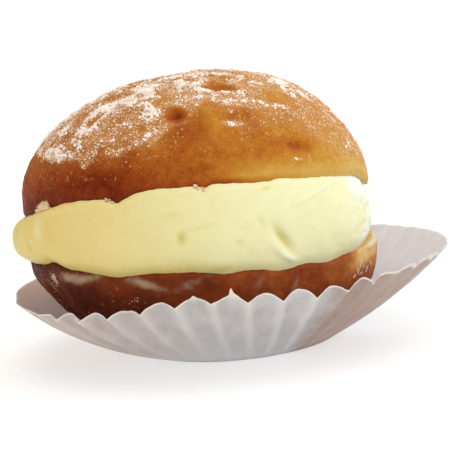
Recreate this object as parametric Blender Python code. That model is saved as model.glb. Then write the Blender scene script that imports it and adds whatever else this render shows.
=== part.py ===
"""A cream-filled doughnut sitting in its fluted paper case.

The doughnut is sliced across and opened towards the front (-Y), so the cream between
the two halves is a wedge: deep in front, thin behind. It sits to the left (-X) in a
flared paper case. Units are metres, +Z is up, and the origin is the centre of the
case's flat base, on the surface that the case stands on.
"""

import math

import bmesh
import bpy
from mathutils import Vector

# ---- paper case -----------------------------------------------------------------
PAPER = 0.0004  # thickness of the paper
BASE_RADIUS = 0.0248  # flat round base, out to its crease
WALL_LENGTH = 0.0362  # from the crease to the rim, measured along the paper
PLEATS = 43
STEPS_PER_PLEAT = 4
WALL_RINGS = 5
PLEAT_DEPTH = 0.0021  # from the outer creases to the inner crowns, at the rim
PLEAT_UNEVEN = 0.22  # share by which one pleat is deeper or shallower than the next
PLEAT_FLATTER = 0.6  # share of their depth that the pleats lose at the left end
PLEAT_FLATTER_AT = math.radians(192.0)
PLEAT_FLATTER_REACH = math.radians(32.0)
PLEAT_UNEVEN_WAVES = (5.0, 8.0)  # turns of the two slow waves that make them uneven
PLEAT_DRIFT = math.radians(0.7)  # how far the creases wander from even spacing
PLEAT_DRIFT_WAVES = (3.0, 7.0)
PLEAT_TURN = math.radians(3.5)  # the whole sheet is turned by this much
PLEAT_MIDDLE = 0.3  # share of the depth that lies outside the wall's own line
FOOT_ANGLE = math.radians(22.5)  # slope of the wall where it leaves the base
RIM_ANGLE = math.radians(41.0)  # slope of the wall at the rim
STEEPER_BY = math.radians(3.2)  # the wall stands steeper on this side ...
STEEPER_AT = math.radians(-30.0)  # ... the front right
CURL_BY = math.radians(5.8)  # two opposite quarters curl up more than the others
CURL_AT = math.radians(29.0)
# Places where the rim was pressed: (direction, reach, change of the rim's slope)
RIM_PRESSED = (
    (math.radians(296.0), math.radians(13.0), math.radians(-7.0)),
    (math.radians(258.0), math.radians(15.0), math.radians(3.5)),
    (math.radians(226.0), math.radians(16.0), math.radians(-4.5)),
)

# ---- doughnut -------------------------------------------------------------------
GAP = 0.0003  # clearance between pieces that touch
DOUGHNUT_X = -0.0075  # the doughnut sits off centre in its case
TOP_RADIUS = 0.0436
BOTTOM_RADIUS_LEFT = 0.0433
BOTTOM_RADIUS_RIGHT = 0.0442
SEGMENTS = 80

# Upper half: a dome that leans back on its tilted cut
UPPER_CUT = 0.0363  # height of the upper cut at the middle
UPPER_TILT = math.radians(11.6)  # the upper half is opened by this much
UPPER_DROP_BACK = 0.0048  # the cut levels off behind, so it falls by less there
UPPER_EASE = 0.25  # how gently the cut turns from its front slope to its back slope
DOME_HEIGHT = 0.0312
DOME_POWER = 2.22  # 2 is an ellipse, more is squarer
CRUST_RINGS = 15
# Swells and hollows of the crust: (direction, elevation, spread, height)
CRUST_SWELLS = (
    (math.radians(180.0), math.radians(20.0), math.radians(15.0), 0.0004),
    (math.radians(180.0), math.radians(48.0), math.radians(18.0), -0.0007),
    (math.radians(0.0), math.radians(62.0), math.radians(15.0), 0.0010),
    (math.radians(0.0), math.radians(30.0), math.radians(18.0), -0.0008),
    (math.radians(300.0), math.radians(62.0), math.radians(16.0), 0.0007),
    (math.radians(75.0), math.radians(40.0), math.radians(24.0), 0.0009),
    (math.radians(125.0), math.radians(58.0), math.radians(20.0), -0.0006),
)

# Lower half: a rounded bottom, flat where it rests in the case
LOWER_CUT = 0.0253  # mean height of the lower cut
LOWER_CUT_FALL = 0.0020  # the cut stands this much higher on the left, lower on the right
LOWER_CUT_BACK_RISE = 0.0007
BOTTOM_REACH = -0.0008  # the round form would end here, and is flattened above it
BOTTOM_POWER_LEFT = 1.9
BOTTOM_POWER_RIGHT = 2.5
BOTTOM_RINGS = 12

# Cream: fills the wedge and swells out between the cut edges
CREAM_RINGS = 8
CREAM_SWELL = 0.0009
CREAM_LOBE = 0.0026  # extra swell of the lobe at the left end
CREAM_LOBE_AT = math.radians(186.0)
CREAM_LOBE_REACH = math.radians(27.0)
CREAM_SCRAPED = 0.0016  # the cream is scraped back from the edges at the right end
CREAM_SCRAPED_AT = math.radians(-4.0)
CREAM_SCRAPED_REACH = math.radians(24.0)
CREAM_POWER = 2.6  # squareness of the swell between the edges
CUT_RINGS = 3  # rings of faces across a cut

# ---- colours (linear) and roughness ---------------------------------------------
FINISHES = {
    "doughnut_top": ((0.48, 0.19, 0.045, 1.0), 0.55),
    "cream_layer": ((0.86, 0.76, 0.36, 1.0), 0.35),
    "doughnut_bottom": ((0.22, 0.06, 0.018, 1.0), 0.5),
    "paper_case": ((0.52, 0.47, 0.44, 1.0), 0.85),
}


def clear_scene():
    """Remove everything that the scene holds."""
    for thing in list(bpy.data.objects):
        bpy.data.objects.remove(thing, do_unlink=True)


def material(name):
    """The plain material of one piece."""
    colour, roughness = FINISHES[name]
    made = bpy.data.materials.new(name)
    made.use_nodes = True
    shader = made.node_tree.nodes["Principled BSDF"]
    shader.inputs["Base Color"].default_value = colour
    shader.inputs["Roughness"].default_value = roughness
    shader.inputs["Metallic"].default_value = 0.0
    return made


def bell(distance, spread):
    """A smooth bump: 1 at no distance, about a third at one spread."""
    return math.exp(-((distance / spread) ** 2))


def turn_from(angle, direction):
    """The angle between two directions on the compass, from -pi to pi."""
    return (angle - direction + math.pi) % (2.0 * math.pi) - math.pi


def mix(low, high, share):
    """A value this share of the way from low to high."""
    return low + (high - low) * share


def turned(profile, steps):
    """Spin a profile of (radius, height) points, axis to axis, into a closed blank."""
    blank = bmesh.new()
    points = [blank.verts.new((radius, 0.0, height)) for radius, height in profile]
    edges = [blank.edges.new(pair) for pair in zip(points, points[1:])]
    bmesh.ops.spin(
        blank,
        geom=points + edges,
        cent=(0.0, 0.0, 0.0),
        axis=(0.0, 0.0, 1.0),
        angle=2.0 * math.pi,
        steps=steps,
        use_merge=True,
    )
    bmesh.ops.remove_doubles(blank, verts=blank.verts, dist=1e-7)
    return blank


def finished(name, blank, shape):
    """Move each point of the blank to its place by the shape function, and make the object."""
    for vert in blank.verts:
        vert.co = shape(vert.co.copy())
    bmesh.ops.recalc_face_normals(blank, faces=blank.faces)
    mesh = bpy.data.meshes.new(name)
    blank.to_mesh(mesh)
    blank.free()
    mesh.shade_smooth()
    mesh.set_sharp_from_angle(angle=math.radians(50.0))
    mesh.materials.append(material(name))
    piece = bpy.data.objects.new(name, mesh)
    bpy.context.scene.collection.objects.link(piece)
    return piece


# ---- the two cuts -----------------------------------------------------------------
def upper_edge(angle):
    """Height of the upper cut's edge in this direction."""
    forward = -math.sin(angle)
    rise = TOP_RADIUS * math.tan(UPPER_TILT)
    slope = 0.5 * (rise + UPPER_DROP_BACK)
    bend = 0.5 * (rise - UPPER_DROP_BACK) / (math.hypot(1.0, UPPER_EASE) - UPPER_EASE)
    return UPPER_CUT + slope * forward + bend * (math.hypot(forward, UPPER_EASE) - UPPER_EASE)


def lower_edge(angle):
    """Height of the lower cut's edge in this direction."""
    back = max(0.0, math.sin(angle))
    return LOWER_CUT - LOWER_CUT_FALL * math.cos(angle) + LOWER_CUT_BACK_RISE * back


def bottom_radius(angle):
    """Radius of the lower half at its cut."""
    return mix(BOTTOM_RADIUS_LEFT, BOTTOM_RADIUS_RIGHT, 0.5 + 0.5 * math.cos(angle))


def cut_height(edge, middle, angle, reach):
    """Height of a cut at a share of the way from its middle to its edge."""
    return mix(middle, edge(angle), reach)


# ---- upper half -------------------------------------------------------------------
def dome_blank():
    """Unit dome on a flat disc: the crust's profile by its angle above the cut."""
    profile = [(step / CUT_RINGS, 0.0) for step in range(CUT_RINGS)]
    for ring in range(CRUST_RINGS + 1):
        rise = 0.5 * math.pi * ring / CRUST_RINGS
        profile.append((math.cos(rise), math.sin(rise)))
    profile[-1] = (0.0, 1.0)
    return turned(profile, SEGMENTS)


def swell_at(spot):
    """How far the crust stands out at this direction of the unit dome."""
    total = 0.0
    for direction, elevation, spread, height in CRUST_SWELLS:
        centre = Vector(
            (
                math.cos(direction) * math.cos(elevation),
                math.sin(direction) * math.cos(elevation),
                math.sin(elevation),
            )
        )
        total += height * bell(centre.angle(spot), spread)
    return total


def shape_upper(spot):
    """Place a point of the unit dome on the upper half."""
    angle = math.atan2(spot.y, spot.x)
    level = math.hypot(spot.x, spot.y)
    if spot.z < 1e-6 and level < 1.0 - 1e-4:
        height = cut_height(upper_edge, UPPER_CUT, angle, level)
        flat = level * TOP_RADIUS
        return Vector((DOUGHNUT_X + flat * math.cos(angle), flat * math.sin(angle), height))
    radius = TOP_RADIUS * max(level, 0.0) ** (2.0 / DOME_POWER)
    rise = DOME_HEIGHT * max(spot.z, 0.0) ** (2.0 / DOME_POWER)
    # The dome leans back with the cut, and its foot follows the cut's edge.
    forward = -math.sin(angle)
    tilted = UPPER_CUT + forward * radius * math.tan(UPPER_TILT)
    foot = upper_edge(angle) - UPPER_CUT - forward * TOP_RADIUS * math.tan(UPPER_TILT)
    foot *= (1.0 - min(spot.z, 1.0)) ** 2
    place = Vector((DOUGHNUT_X + radius * math.cos(angle), radius * math.sin(angle), tilted + foot))
    place += rise * Vector((0.0, math.sin(UPPER_TILT), math.cos(UPPER_TILT)))
    return place + spot.normalized() * swell_at(spot) * min(1.0, 6.0 * max(spot.z, 0.0))


# ---- lower half -------------------------------------------------------------------
def bowl_blank():
    """Unit bowl under a flat disc."""
    profile = [(step / CUT_RINGS, 0.0) for step in range(CUT_RINGS)]
    for ring in range(BOTTOM_RINGS + 1):
        drop = 0.5 * math.pi * ring / BOTTOM_RINGS
        profile.append((math.cos(drop), -math.sin(drop)))
    profile[-1] = (0.0, -1.0)
    return turned(profile, SEGMENTS)


def shape_lower(spot):
    """Place a point of the unit bowl on the lower half."""
    angle = math.atan2(spot.y, spot.x)
    level = math.hypot(spot.x, spot.y)
    edge = lower_edge(angle)
    if spot.z > -1e-6 and level < 1.0 - 1e-4:
        flat = level * bottom_radius(angle)
        height = cut_height(lower_edge, LOWER_CUT, angle, level)
        return Vector((DOUGHNUT_X + flat * math.cos(angle), flat * math.sin(angle), height))
    power = mix(BOTTOM_POWER_LEFT, BOTTOM_POWER_RIGHT, 0.5 + 0.5 * math.cos(angle))
    radius = bottom_radius(angle) * max(level, 0.0) ** (2.0 / power)
    drop = max(-spot.z, 0.0) ** (2.0 / power)
    height = mix(edge, BOTTOM_REACH, drop)
    rest = PAPER + GAP
    return Vector((DOUGHNUT_X + radius * math.cos(angle), radius * math.sin(angle), max(height, rest)))


# ---- cream ------------------------------------------------------------------------
def cream_blank():
    """Unit drum: lower face, side and upper face."""
    profile = [(step / CUT_RINGS, -1.0) for step in range(CUT_RINGS)]
    for ring in range(CREAM_RINGS + 1):
        profile.append((1.0, -1.0 + 2.0 * ring / CREAM_RINGS))
    profile += [(step / CUT_RINGS, 1.0) for step in reversed(range(CUT_RINGS))]
    return turned(profile, SEGMENTS)


def cream_stand(angle):
    """How far the cream stands out of the cut edges in this direction."""
    lobe = CREAM_LOBE * bell(turn_from(angle, CREAM_LOBE_AT), CREAM_LOBE_REACH)
    return CREAM_SWELL + lobe


def cream_inset(angle):
    """How far the cream's own edge lies inside the crust's edge."""
    return GAP + CREAM_SCRAPED * bell(
        turn_from(angle, CREAM_SCRAPED_AT), CREAM_SCRAPED_REACH
    )


def shape_cream(spot):
    """Place a point of the unit drum on the cream."""
    angle = math.atan2(spot.y, spot.x)
    level = math.hypot(spot.x, spot.y)
    low = cut_height(lower_edge, LOWER_CUT, angle, level) + GAP
    high = cut_height(upper_edge, UPPER_CUT, angle, level) - GAP
    rise = 0.5 + 0.5 * spot.z
    edge = mix(bottom_radius(angle), TOP_RADIUS, rise) - cream_inset(angle)
    swell = cream_stand(angle) * (1.0 - abs(spot.z) ** CREAM_POWER)
    radius = level * (edge + swell)
    return Vector((DOUGHNUT_X + radius * math.cos(angle), radius * math.sin(angle), mix(low, high, rise)))


# ---- paper case -------------------------------------------------------------------
def paper_blank():
    """A flat round sheet of paper: its under face at 0, its upper face at 1."""
    flat = [BASE_RADIUS + WALL_LENGTH * ring / WALL_RINGS for ring in range(WALL_RINGS + 1)]
    profile = [(0.0, 0.0)] + [(radius, 0.0) for radius in flat]
    profile += [(radius, 1.0) for radius in reversed(flat)] + [(0.0, 1.0)]
    return turned(profile, PLEATS * STEPS_PER_PLEAT)


def wall_angles(angle):
    """Slope of the wall at its foot and at its rim, in this direction."""
    lean = STEEPER_BY * math.cos(angle - STEEPER_AT)
    curl = CURL_BY * math.cos(2.0 * (angle - CURL_AT))
    rim = RIM_ANGLE + lean + curl
    for direction, reach, change in RIM_PRESSED:
        rim += change * bell(turn_from(angle, direction), reach)
    return FOOT_ANGLE + lean - curl, rim


def pleat_wave(angle):
    """Depth of the pleating: 0 on the sharp outer creases, 1 on the round inner crowns."""
    return abs(math.sin(0.5 * PLEATS * angle))


def shape_case(spot):
    """Fold a point of the flat sheet up into the fluted case."""
    flat = math.hypot(spot.x, spot.y)
    upper_face = spot.z
    wave = pleat_wave(math.atan2(spot.y, spot.x))
    angle = math.atan2(spot.y, spot.x) + PLEAT_TURN
    if flat < BASE_RADIUS - 1e-6:
        return Vector((spot.x, spot.y, PAPER * upper_face))
    along = (flat - BASE_RADIUS) / WALL_LENGTH
    foot, rim = wall_angles(angle)
    slope = mix(foot, rim, along)
    # The wall rises on an arc whose slope grows evenly from the foot to the rim.
    bend = WALL_LENGTH / (rim - foot)
    radius = BASE_RADIUS + bend * (math.sin(slope) - math.sin(foot))
    height = bend * (math.cos(foot) - math.cos(slope))
    first, second = PLEAT_UNEVEN_WAVES
    uneven = 1.0 + PLEAT_UNEVEN * math.sin(first * angle + 0.6) * math.cos(second * angle)
    uneven -= PLEAT_FLATTER * bell(turn_from(angle, PLEAT_FLATTER_AT), PLEAT_FLATTER_REACH)
    inward = PLEAT_DEPTH * uneven * along * (wave - PLEAT_MIDDLE)
    if along > 1e-4:
        inward += PAPER * upper_face
        radius -= inward * math.sin(slope)
        height += inward * math.cos(slope)
    else:
        height = PAPER * upper_face
    first, second = PLEAT_DRIFT_WAVES
    drift = PLEAT_DRIFT * (math.sin(first * angle + 1.0) + 0.6 * math.sin(second * angle))
    angle += drift * along
    return Vector((radius * math.cos(angle), radius * math.sin(angle), height))


def main():
    """Build the four pieces."""
    clear_scene()
    finished("paper_case", paper_blank(), shape_case)
    finished("doughnut_bottom", bowl_blank(), shape_lower)
    finished("cream_layer", cream_blank(), shape_cream)
    finished("doughnut_top", dome_blank(), shape_upper)


main()
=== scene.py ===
"""The looks of a cream-filled doughnut that stands in its fluted paper case.

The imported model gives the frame: metres, +Z up, the viewer at -Y and the origin at the
centre of the case's flat base. The four main pieces are turned from a profile and then
shaped, as their solids are, but fine enough to carry relief, marks and ragged edges.
"""

import logging
import math
from dataclasses import dataclass
from enum import Enum
from typing import Callable

import bmesh
import bpy
import numpy as np
from mathutils import Matrix, Vector, noise


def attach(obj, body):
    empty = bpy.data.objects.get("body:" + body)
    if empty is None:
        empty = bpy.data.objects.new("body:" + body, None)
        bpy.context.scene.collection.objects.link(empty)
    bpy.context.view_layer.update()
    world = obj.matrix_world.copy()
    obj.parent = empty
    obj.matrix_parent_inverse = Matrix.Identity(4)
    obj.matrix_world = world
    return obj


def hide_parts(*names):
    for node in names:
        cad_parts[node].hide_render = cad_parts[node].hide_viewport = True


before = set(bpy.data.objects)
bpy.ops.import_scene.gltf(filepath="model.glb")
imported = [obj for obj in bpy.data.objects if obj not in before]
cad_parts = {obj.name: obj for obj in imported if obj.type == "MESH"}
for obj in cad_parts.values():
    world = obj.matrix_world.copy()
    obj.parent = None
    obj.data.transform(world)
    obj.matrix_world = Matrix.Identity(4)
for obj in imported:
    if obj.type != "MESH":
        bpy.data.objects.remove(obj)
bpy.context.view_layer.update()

LOG = logging.getLogger("doughnut")
MM = 0.001
# Unit of amounts that are shares
PLAIN = 1.0
# Slack when a blank's points are sorted, in metres or shares: fine and less fine
HAIR = 1e-6
NEAR = 1e-4
# How fast relief grows from an edge: it is full at a sixth of the way
FADE = 6.0
WHITE = (1.0, 1.0, 1.0)
Numbers = np.ndarray
Triple = tuple[float, float, float]
Colour = Triple
# A mark as plain numbers: direction, how far up, reach along and across, turn, amount
Row = tuple[float, float, float, float, float, float]


def deg(value: float) -> float:
    """Radians of an angle in degrees."""
    return math.radians(value)


# ---- shaping --------------------------------------------------------------------------
def bell(distance: Numbers, reach: float) -> Numbers:
    """Make a smooth bump: 1 at no distance, about a third at one reach.

    Args:
        distance: How far each point is from the bump's middle.
        reach: The distance at which the bump has dropped to about a third.

    Returns:
        The bump's share at each point.
    """
    return np.exp(-((distance / reach) ** 2))


def turn_from(angle: Numbers, direction: float) -> Numbers:
    """Measure the turn from a direction on the compass.

    Args:
        angle: Directions of the points.
        direction: The direction that they are measured from.

    Returns:
        The turns, from -pi to pi.
    """
    return (angle - direction + np.pi) % (2.0 * np.pi) - np.pi


def mix(low: Numbers, high: Numbers, share: Numbers) -> Numbers:
    """Take the value this share of the way from low to high.

    Args:
        low: Value at a share of 0.
        high: Value at a share of 1.
        share: How far along.

    Returns:
        The value between them.
    """
    return low + (high - low) * share


def ease(value: Numbers, low: float, high: float) -> Numbers:
    """Rise smoothly from 0 at low to 1 at high.

    Args:
        value: The values to ease.
        low: Where the rise begins.
        high: Where it ends; less than low makes it a fall.

    Returns:
        Shares from 0 to 1.
    """
    share = np.clip((value - low) / (high - low), 0.0, 1.0)
    return share * share * (3.0 - 2.0 * share)


def smooth_noise(places: Numbers) -> Numbers:
    """Gradient noise in space, about -1 to 1, with a feature for each unit of length.

    Args:
        places: One row of x, y, z for each point.

    Returns:
        The noise at each point.
    """
    cell = np.floor(places).astype(np.int64)
    part = places - cell
    share = part**3 * (part * (6.0 * part - 15.0) + 10.0)
    total = np.zeros(len(places))
    for corner in np.ndindex(2, 2, 2):
        key = (cell + corner) @ np.array((73856093, 19349663, 83492791)) & 0xFFFFFFFF
        for step in (15, 13):
            key = ((key ^ (key >> step)) * 0x2C1B3C6D) & 0xFFFFFFFF
        pull = np.stack([(key >> bit & 1023) / 511.5 - 1.0 for bit in (2, 12, 22)], axis=1)
        near = np.prod(np.where(np.array(corner, bool), share, 1.0 - share), axis=1)
        total += near * np.sum(pull * (part - corner), axis=1)
    return 1.6 * total


def lumps(places: Numbers, size: float, octaves: int, batch: float) -> Numbers:
    """Uneven rise and fall all over a piece, about -1 to 1.

    Args:
        places: One row of x, y, z for each point.
        size: How far apart the lumps are.
        octaves: How many layers are in it, each finer and lower.
        batch: Picks another pattern.

    Returns:
        The height at each point.
    """
    shift = np.array((7.31, 3.17, 5.71)) * (batch + 1.0)
    layers = (
        0.55**octave * smooth_noise(places * (2.1**octave / size) + shift * (octave + 1.0))
        for octave in range(octaves)
    )
    return sum(layers, np.zeros(len(places)))


@dataclass(frozen=True)
class Lumpy:
    """A layer of unevenness all over a piece.

    Attributes:
        height: How high its lumps are, or how strong.
        size: How far apart they are.
        octaves: How many layers are in it, each finer and lower.
        batch: Picks another pattern.
    """

    height: float
    size: float
    octaves: int
    batch: float

    def felt(self, places: Numbers) -> Numbers:
        """Height of its lumps at these places."""
        return self.height * lumps(places, self.size, self.octaves, self.batch)


@dataclass(frozen=True)
class Swell:
    """A stretch of an edge that stands higher or lower.

    Attributes:
        at: Direction of its middle.
        reach: How far it reaches to each side, as an angle.
        height: How much it adds.
    """

    at: float
    reach: float
    height: float

    def felt(self, angle: Numbers) -> Numbers:
        """What it adds in these directions."""
        return self.height * bell(turn_from(angle, self.at), self.reach)


def edge_swells(unit: float, *rows: tuple[float, float, float]) -> tuple[Swell, ...]:
    """Make swells from rows of plain numbers.

    Args:
        unit: What the heights are counted in.
        rows: Direction and reach in degrees, and height, for each swell.

    Returns:
        The swells.
    """
    return tuple(Swell(deg(at), deg(reach), height * unit) for at, reach, height in rows)


def along_edge(swells: tuple[Swell, ...], angle: Numbers) -> Numbers:
    """Add up the swells of an edge.

    Args:
        swells: The swells.
        angle: Directions of the points.

    Returns:
        The sum in each direction.
    """
    return sum((swell.felt(angle) for swell in swells), np.zeros_like(angle))


@dataclass(frozen=True)
class Mark:
    """A dent, ridge or stain: an oval place on a piece's side.

    Attributes:
        at: Direction of its middle.
        up: How far up the side its middle is.
        along: Reach along its long way.
        across: Reach across it.
        turn: How far its long way is turned up from level.
        amount: Depth, height or strength at the middle.
    """

    at: float
    up: float
    along: float
    across: float
    turn: float
    amount: float

    def felt(self, angle: Numbers, up: Numbers, radius: Numbers) -> Numbers:
        """Find how strongly each point feels the mark.

        Args:
            angle: Directions of the points.
            up: How far up the side they are.
            radius: Radius of the side there, which turns directions into lengths.

        Returns:
            The mark's amount at each point.
        """
        level = turn_from(angle, self.at) * radius
        rise = up - self.up
        length = level * math.cos(self.turn) + rise * math.sin(self.turn)
        width = rise * math.cos(self.turn) - level * math.sin(self.turn)
        return self.amount * np.exp(-((length / self.along) ** 2) - (width / self.across) ** 2)


def side_marks(unit: float, *rows: Row) -> tuple[Mark, ...]:
    """Make marks on an upright side from rows of plain numbers.

    Args:
        unit: What the amounts are counted in.
        rows: Direction in degrees, height in millimetres, reach along and across in
            millimetres, turn in degrees, and amount, for each mark.

    Returns:
        The marks.
    """
    return tuple(
        Mark(deg(at), up * MM, along * MM, across * MM, deg(turn), amount * unit)
        for at, up, along, across, turn, amount in rows
    )


def dome_marks(arc: float, unit: float, *rows: Row) -> tuple[Mark, ...]:
    """Make marks on a dome from rows of plain numbers.

    Args:
        arc: The dome's radius, which turns elevations into lengths.
        unit: What the amounts are counted in.
        rows: Direction and elevation in degrees, reach along and across in
            millimetres, turn in degrees, and amount, for each mark.

    Returns:
        The marks.
    """
    return tuple(
        Mark(deg(at), deg(up) * arc, along * MM, across * MM, deg(turn), amount * unit)
        for at, up, along, across, turn, amount in rows
    )


def all_marks(
    marks: tuple[Mark, ...], angle: Numbers, up: Numbers, radius: Numbers
) -> Numbers:
    """Add up marks.

    Args:
        marks: The marks.
        angle: Directions of the points.
        up: How far up the side they are.
        radius: Radius of the side there.

    Returns:
        The sum at each point.
    """
    total = np.zeros_like(angle)
    for mark in marks:
        total += mark.felt(angle, up, radius)
    return total


def turned(profile: list[tuple[float, float]], steps: int) -> bmesh.types.BMesh:
    """Roll a grid up into a closed blank, as if a profile from axis to axis were turned.

    Args:
        profile: Its (radius, height) points.
        steps: How many steps the turn takes.

    Returns:
        The blank.
    """
    blank = bmesh.new()
    last = len(profile) - 1
    bmesh.ops.create_grid(blank, x_segments=steps, y_segments=last, size=1.0)
    for vert in blank.verts:
        radius, height = profile[round(0.5 * (vert.co.y + 1.0) * last)]
        angle = math.pi * (vert.co.x + 1.0)
        vert.co = (radius * math.cos(angle), radius * math.sin(angle), height)
    bmesh.ops.remove_doubles(blank, verts=blank.verts, dist=HAIR)
    bmesh.ops.recalc_face_normals(blank, faces=blank.faces)
    return blank


def column(data: bpy.types.bpy_prop_collection, name: str, width: int) -> Numbers:
    """Read one property of all of a mesh's points or faces.

    Args:
        data: The points or faces.
        name: The property's name.
        width: How many numbers it has.

    Returns:
        One row for each point or face.
    """
    values = np.zeros(len(data) * width, np.float32)
    data.foreach_get(name, values)
    return values.reshape(-1, width).astype(float)


def polar(spots: Numbers) -> tuple[Numbers, Numbers, Numbers]:
    """Split points into direction, distance from the axis and height."""
    return np.arctan2(spots[:, 1], spots[:, 0]), np.hypot(spots[:, 0], spots[:, 1]), spots[:, 2]


def stacked(x: Numbers, y: Numbers, z: Numbers) -> Numbers:
    """Put three columns together as rows of x, y, z."""
    return np.stack(np.broadcast_arrays(x, y, z), axis=1)


@dataclass
class Shaped:
    """What a shape function gives back.

    Attributes:
        places: One row of x, y, z for each point of the blank.
        marks: Named values for each point, which the finish reads.
    """

    places: Numbers
    marks: dict[str, Numbers]


def make_piece(
    name: str,
    blank: bmesh.types.BMesh,
    shape: Callable[[Numbers], Shaped],
    material: bpy.types.Material,
    crease: float,
) -> bpy.types.Object:
    """Move each point of a blank to its place and make the object.

    Args:
        name: The piece's name.
        blank: The turned blank, which is used up.
        shape: Gives each point its place and its marks.
        material: The piece's finish.
        crease: Edges sharper than this stay sharp.

    Returns:
        The piece, riding on the body.
    """
    mesh = bpy.data.meshes.new(name)
    blank.to_mesh(mesh)
    blank.free()
    shaped = shape(column(mesh.vertices, "co", 3))
    mesh.vertices.foreach_set("co", shaped.places.astype(np.float32).ravel())
    mesh.update()
    mesh.shade_smooth()
    mesh.set_sharp_from_angle(angle=crease)
    for mark, values in shaped.marks.items():
        layer = mesh.attributes.new(mark, "FLOAT", "POINT")
        layer.data.foreach_set("value", values.astype(np.float32))
    return placed(name, mesh, material)


def placed(name: str, mesh: bpy.types.Mesh, material: bpy.types.Material) -> bpy.types.Object:
    """Put a mesh into the scene as a piece that rides on the body.

    Args:
        name: The piece's name.
        mesh: Its mesh, in the frame's own place.
        material: Its finish.

    Returns:
        The piece.
    """
    mesh.materials.append(material)
    piece = bpy.data.objects.new(name, mesh)
    bpy.context.scene.collection.objects.link(piece)
    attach(piece, "root")
    return piece


# ---- shader maths ---------------------------------------------------------------------
class Wire:
    """A socket of a material, in sums that add their own Math nodes."""

    def __init__(self, tree: bpy.types.NodeTree, socket: bpy.types.NodeSocket) -> None:
        """Wrap an output socket.

        Args:
            tree: The material's node tree.
            socket: The output socket.
        """
        self.tree = tree
        self.socket = socket

    def _sum(self, operation: str, first: object, second: object) -> "Wire":
        """Add one Math node.

        Args:
            operation: The node's operation.
            first: Its first value or wire.
            second: Its second value or wire.

        Returns:
            The node's result.
        """
        node = self.tree.nodes.new("ShaderNodeMath")
        node.operation = operation
        for socket, value in zip(node.inputs, (first, second)):
            if isinstance(value, Wire):
                self.tree.links.new(value.socket, socket)
            else:
                socket.default_value = float(value)
        return Wire(self.tree, node.outputs[0])

    def __add__(self, other: object) -> "Wire":
        """Sum of two values."""
        return self._sum("ADD", self, other)

    __radd__ = __add__

    def __sub__(self, other: object) -> "Wire":
        """This value less another."""
        return self._sum("SUBTRACT", self, other)

    def __rsub__(self, other: object) -> "Wire":
        """Another value less this one."""
        return self._sum("SUBTRACT", other, self)

    def __mul__(self, other: object) -> "Wire":
        """Product of two values."""
        return self._sum("MULTIPLY", self, other)

    __rmul__ = __mul__

    def most(self, other: object) -> "Wire":
        """The greater of this value and another."""
        return self._sum("MAXIMUM", self, other)

    def within(self) -> "Wire":
        """Hold this value between 0 and 1.

        Returns:
            The held value.
        """
        made = self._sum("ADD", self, 0.0)
        made.socket.node.use_clamp = True
        return made


class Texture(Enum):
    """The patterns that a finish can be made of."""

    CLOUD = "ShaderNodeTexNoise"
    CELL = "ShaderNodeTexVoronoi"


class Board:
    """A node tree, to which nodes are added one by one."""

    def __init__(self, tree: bpy.types.NodeTree) -> None:
        """Start on a node tree."""
        self.tree = tree

    def feed(self, node: bpy.types.Node, sockets: dict[str | int, object]) -> None:
        """Give a node's input sockets their values or wires.

        Args:
            node: The node.
            sockets: Values or wires of its input sockets, by name or number.
        """
        for name, value in sockets.items():
            socket = node.inputs[name]
            if isinstance(value, Wire):
                self.tree.links.new(value.socket, socket)
            elif isinstance(value, tuple) and socket.type == "RGBA":
                socket.default_value = (*value, 1.0)
            else:
                socket.default_value = value

    def node(
        self,
        kind: str,
        settings: dict[str, object] | None = None,
        sockets: dict[str | int, object] | None = None,
    ) -> bpy.types.Node:
        """Add a node.

        Args:
            kind: The node's type.
            settings: Its settings, set first; "stops" are a ramp's (place, colour) pairs.
            sockets: Values or wires of its input sockets, by name or number.

        Returns:
            The node.
        """
        made = self.tree.nodes.new(kind)
        for name, value in (settings or {}).items():
            if name == "stops":
                stops = made.color_ramp.elements
                while len(stops) < len(value):
                    stops.new(1.0)
                for stop, (place, colour) in zip(stops, value):
                    stop.position = place
                    stop.color = (*colour, 1.0)
            else:
                setattr(made, name, value)
        self.feed(made, sockets or {})
        return made

    def wire(self, node: bpy.types.Node, output: str | int = 0) -> Wire:
        """Wrap one output of a node."""
        return Wire(self.tree, node.outputs[output])

    def blend(
        self,
        share: Wire | float,
        low: Wire | Colour,
        high: Wire | Colour,
        way: str = "MIX",
    ) -> Wire:
        """Mix two colours.

        Args:
            share: How much of the second.
            low: The first colour.
            high: The second colour.
            way: How they are mixed.

        Returns:
            The mixed colour.
        """
        settings = {"data_type": "RGBA", "blend_type": way}
        mixed = self.node("ShaderNodeMix", settings, {"Factor": share, 6: low, 7: high})
        return self.wire(mixed, 2)

    def tint(self, share: Wire | float, colour: Wire | Colour, by: Wire | Colour) -> Wire:
        """Multiply a colour by another, as strongly as the share says."""
        return self.blend(share, colour, by, "MULTIPLY")


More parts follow.
